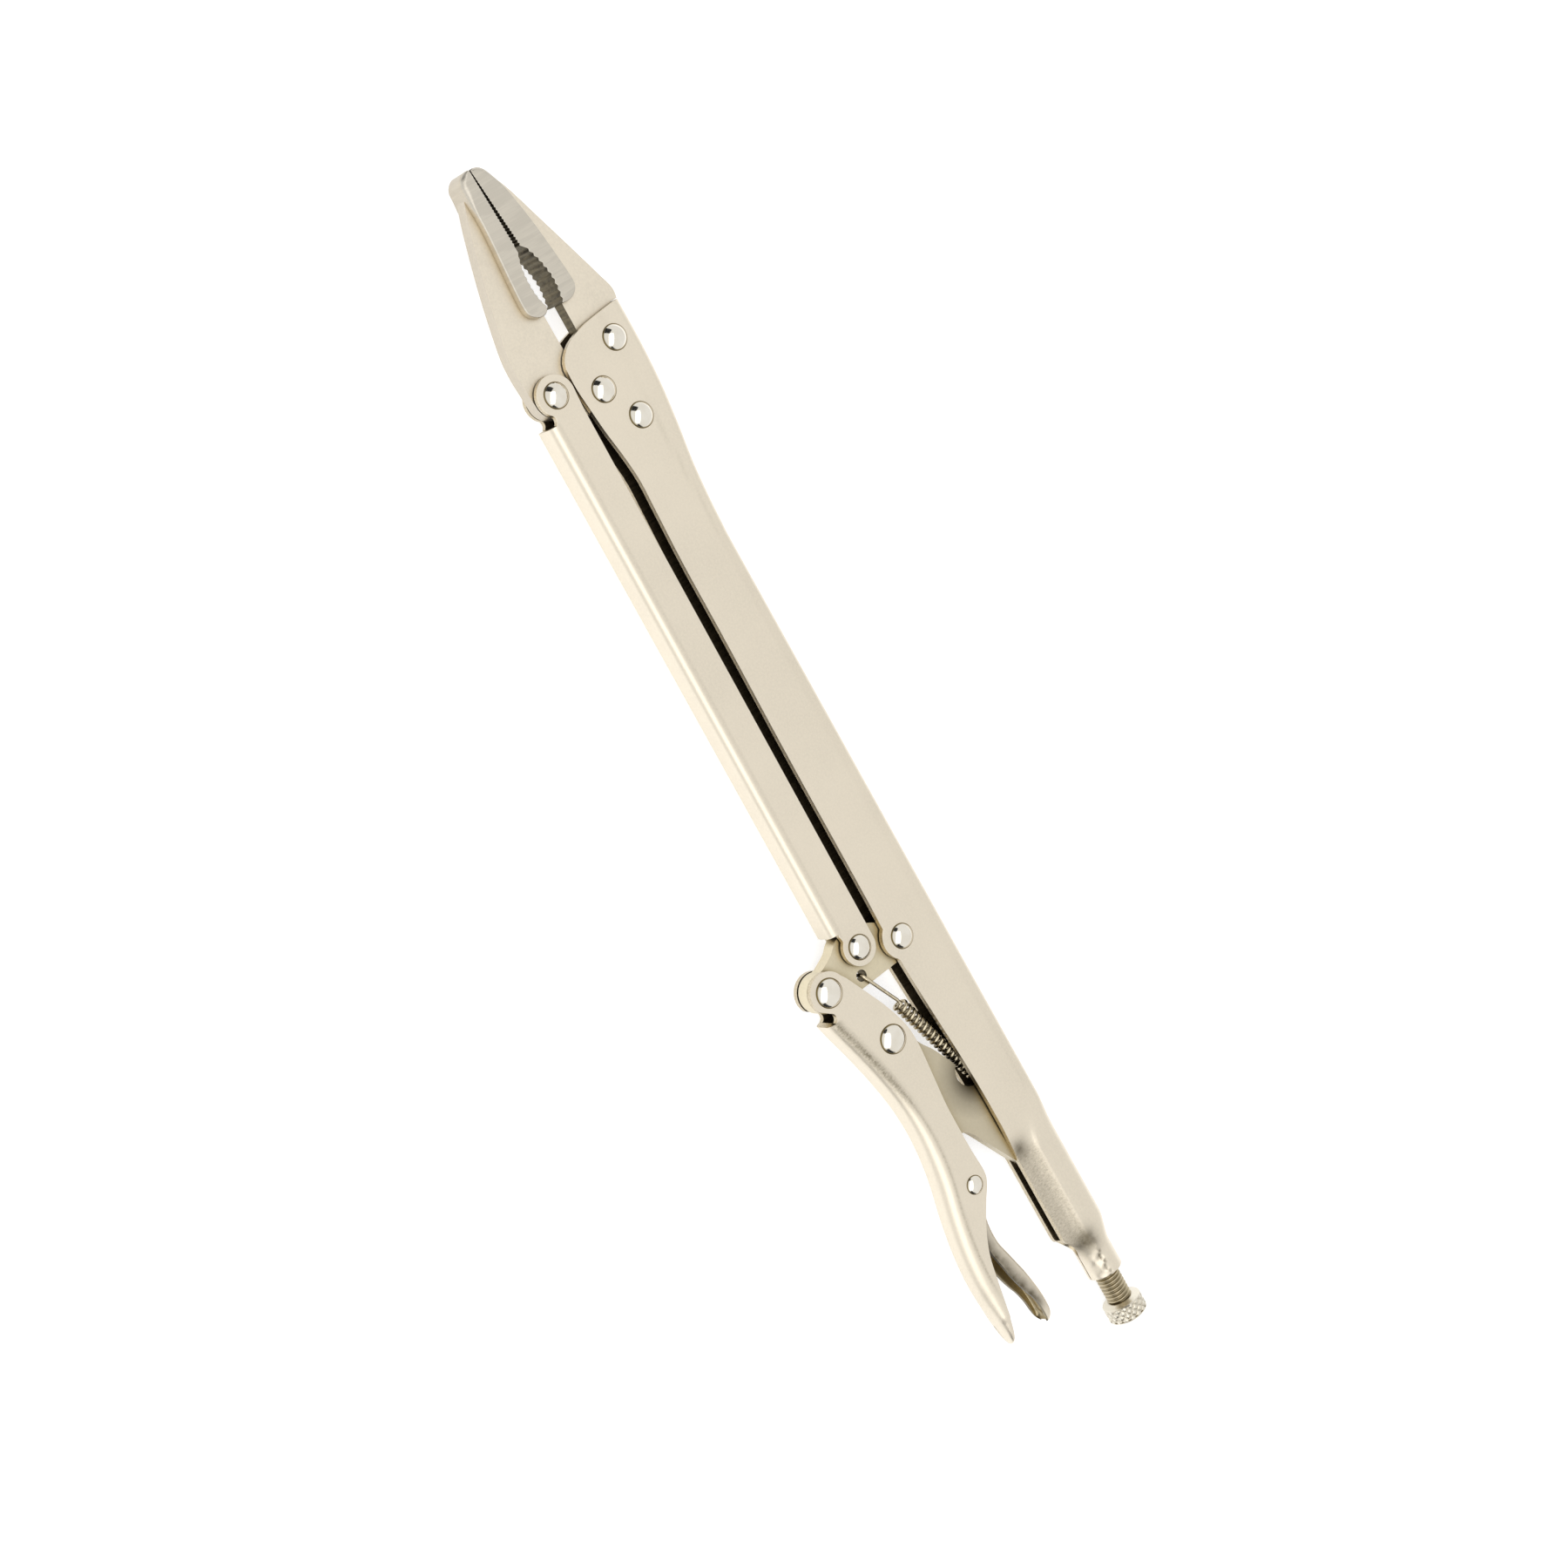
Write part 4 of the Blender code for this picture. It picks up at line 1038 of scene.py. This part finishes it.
def opening_spring():
    """The coil and its hooks."""
    along = (COIL_END - COIL_START).normalized()
    side = Vector((0, 0, 1))
    up = side.cross(along)
    total = COIL_TURNS * COIL_STEPS
    points = [Vector((SPRING_TAB_X + 2.2, 3.0, 0)), Vector((SPRING_TAB_X + 2.6, 4.6, 0.4))]
    for i in range(total + 1):
        turn = 2 * math.pi * (i / COIL_STEPS + 0.25)
        ring = side * math.sin(turn) * COIL_RADIUS + up * math.cos(turn) * COIL_RADIUS
        points.append(COIL_START.lerp(COIL_END, i / total) + ring)
    points += [Vector((124.6, 17.2, 2.3)), Vector((133.6, 21.8, 3.0)), Vector((136.0, 23.0, 3.1)),
               Vector((136.8, 23.3, 2.8)), Vector((137.0, 23.3, 2.0)), Vector((136.8, 23.3, -0.5))]
    curve = bpy.data.curves.new("spring_path", "CURVE")
    curve.dimensions = "3D"
    curve.bevel_depth = WIRE_RADIUS * MM
    curve.bevel_resolution = 4
    curve.use_fill_caps = True
    spline = curve.splines.new("POLY")
    spline.points.add(len(points) - 1)
    for node, point in zip(spline.points, points):
        node.co = (*((np.array(point) - ORIGIN) * MM), 1)
    curve.materials.append(SPRING)
    mesh = mesh_of_curve("spring_path", curve)
    mesh.shade_smooth()
    spring = bpy.data.objects.new("opening_spring_coil", mesh)
    bpy.context.scene.collection.objects.link(spring)
    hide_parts("opening_spring")
    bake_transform(spring)


body_channel()
link_arm()
lever_handle()
release_lever()
rocker_plate()
toggle_link()
fixed_jaw()
moving_jaw()
adjusting_screw()
opening_spring()
rivet("jaw_rivet_front", JAW_RIVET_FRONT, ARM_RIVET, "body")
rivet("jaw_rivet_rear", JAW_RIVET_REAR, ARM_RIVET, "body")
rivet("jaw_pivot_rivet", JAW_PIVOT, ARM_RIVET, "body")
rivet("rocker_pivot_rivet", ROCKER_PIVOT, ARM_RIVET, "body")
rivet("arm_front_rivet", ARM_FRONT_PIVOT, ARM_RIVET, "jaw")
rivet("arm_rear_rivet", ARM_REAR_PIVOT, ARM_RIVET, "rocker")
rivet("lever_pivot_rivet", LEVER_PIVOT, LEVER_RIVET, "rocker")
rivet("toggle_pivot_rivet", TOGGLE_PIVOT, LEVER_RIVET, "lever")
rivet("release_pivot_rivet", RELEASE_PIVOT, SMALL_RIVET, "lever")


# ---------------------------------------------------------------- floor, light and camera

TENT_LIGHT = 0.93
FLOOR_GLOW = 0.62
STRIP_POWER = 6.0
LENS_MM = 60
SENSOR_MM = 36
CAMERA_PLACE = np.array([360.75, 333.4, 633.5])
CAMERA_FORWARD = Vector((-0.2280, -0.4387, -0.8692))
CAMERA_UP = Vector((0.8486, -0.5273, 0.0435))


def flat_card(name, material, corners):
    mesh = bpy.data.meshes.new(name)
    mesh.from_pydata(corners, [], [(0, 1, 2, 3)])
    mesh.materials.append(material)
    card = bpy.data.objects.new(name, mesh)
    bpy.context.scene.collection.objects.link(card)
    return card


def floor():
    """A white table, lit a little from below as in a light tent."""
    n = Nodes("pale_floor")
    n.bump([(n.noise(900, 2), 0.01)])
    n.finish((0.60, 0.61, 0.63), 0.75, 0.0)
    n.shader.inputs["Emission Color"].default_value = (1, 1, 1, 1)
    n.shader.inputs["Emission Strength"].default_value = FLOOR_GLOW
    flat_card("floor", n.material, [(-3, -3, -0.0005), (3, -3, -0.0005), (3, 3, -0.0005), (-3, 3, -0.0005)])


def tent():
    world = bpy.data.worlds.new("studio")
    world.use_nodes = True
    world.node_tree.nodes["Background"].inputs["Color"].default_value = (1, 1, 1, 1)
    world.node_tree.nodes["Background"].inputs["Strength"].default_value = TENT_LIGHT
    bpy.context.scene.world = world


def facing(toward, distance):
    """The place at that distance in a direction, and the turn that looks back from it."""
    place = Vector(toward).normalized() * distance
    away = place.normalized()
    side = CAMERA_UP.cross(away).normalized()
    return place, Matrix((side, away.cross(side), away)).transposed()


def black_card(name, toward, width, height, distance=1.1):
    """A flag that only the polished rivets see."""
    n = Nodes(name)
    n.finish((0.008, 0.008, 0.008), 0.9, 0.0)
    place, turn = facing(toward, distance)
    corners = [(-width / 2, -height / 2, 0), (width / 2, -height / 2, 0),
               (width / 2, height / 2, 0), (-width / 2, height / 2, 0)]
    card = flat_card(name, n.material, [tuple(place + turn @ Vector(c)) for c in corners])
    card.visible_camera = False
    card.visible_shadow = False
    card.visible_diffuse = False


def softbox(name, toward, width, height, power, distance):
    light = bpy.data.lights.new(name, "AREA")
    light.shape = "RECTANGLE"
    light.size = width
    light.size_y = height
    light.energy = power
    place, turn = facing(toward, distance)
    obj = bpy.data.objects.new(name, light)
    obj.location = place
    obj.rotation_euler = turn.to_euler()
    obj.visible_camera = False
    bpy.context.scene.collection.objects.link(obj)


def camera():
    data = bpy.data.cameras.new("camera")
    data.lens = LENS_MM
    data.sensor_width = SENSOR_MM
    data.clip_start = 0.01
    obj = bpy.data.objects.new("camera", data)
    bpy.context.scene.collection.objects.link(obj)
    forward = CAMERA_FORWARD.normalized()
    right = forward.cross(CAMERA_UP).normalized()
    up = right.cross(forward)
    matrix = obj.matrix_world.copy()
    for row in range(3):
        matrix[row][0] = right[row]
        matrix[row][1] = up[row]
        matrix[row][2] = -forward[row]
        matrix[row][3] = (CAMERA_PLACE - ORIGIN)[row] * MM
    obj.matrix_world = matrix
    bpy.context.scene.camera = obj


camera()
floor()
tent()
softbox("strip", (0.02, 0.40, 0.915), 0.85, 2.4, STRIP_POWER, 1.3)
black_card("flag_front", (0.91, 0.10, 0.37), 0.95, 0.62)
black_card("flag_rear", (-0.90, 0.42, 0.12), 1.0, 0.6)
bpy.context.scene.view_settings.view_transform = "Standard"
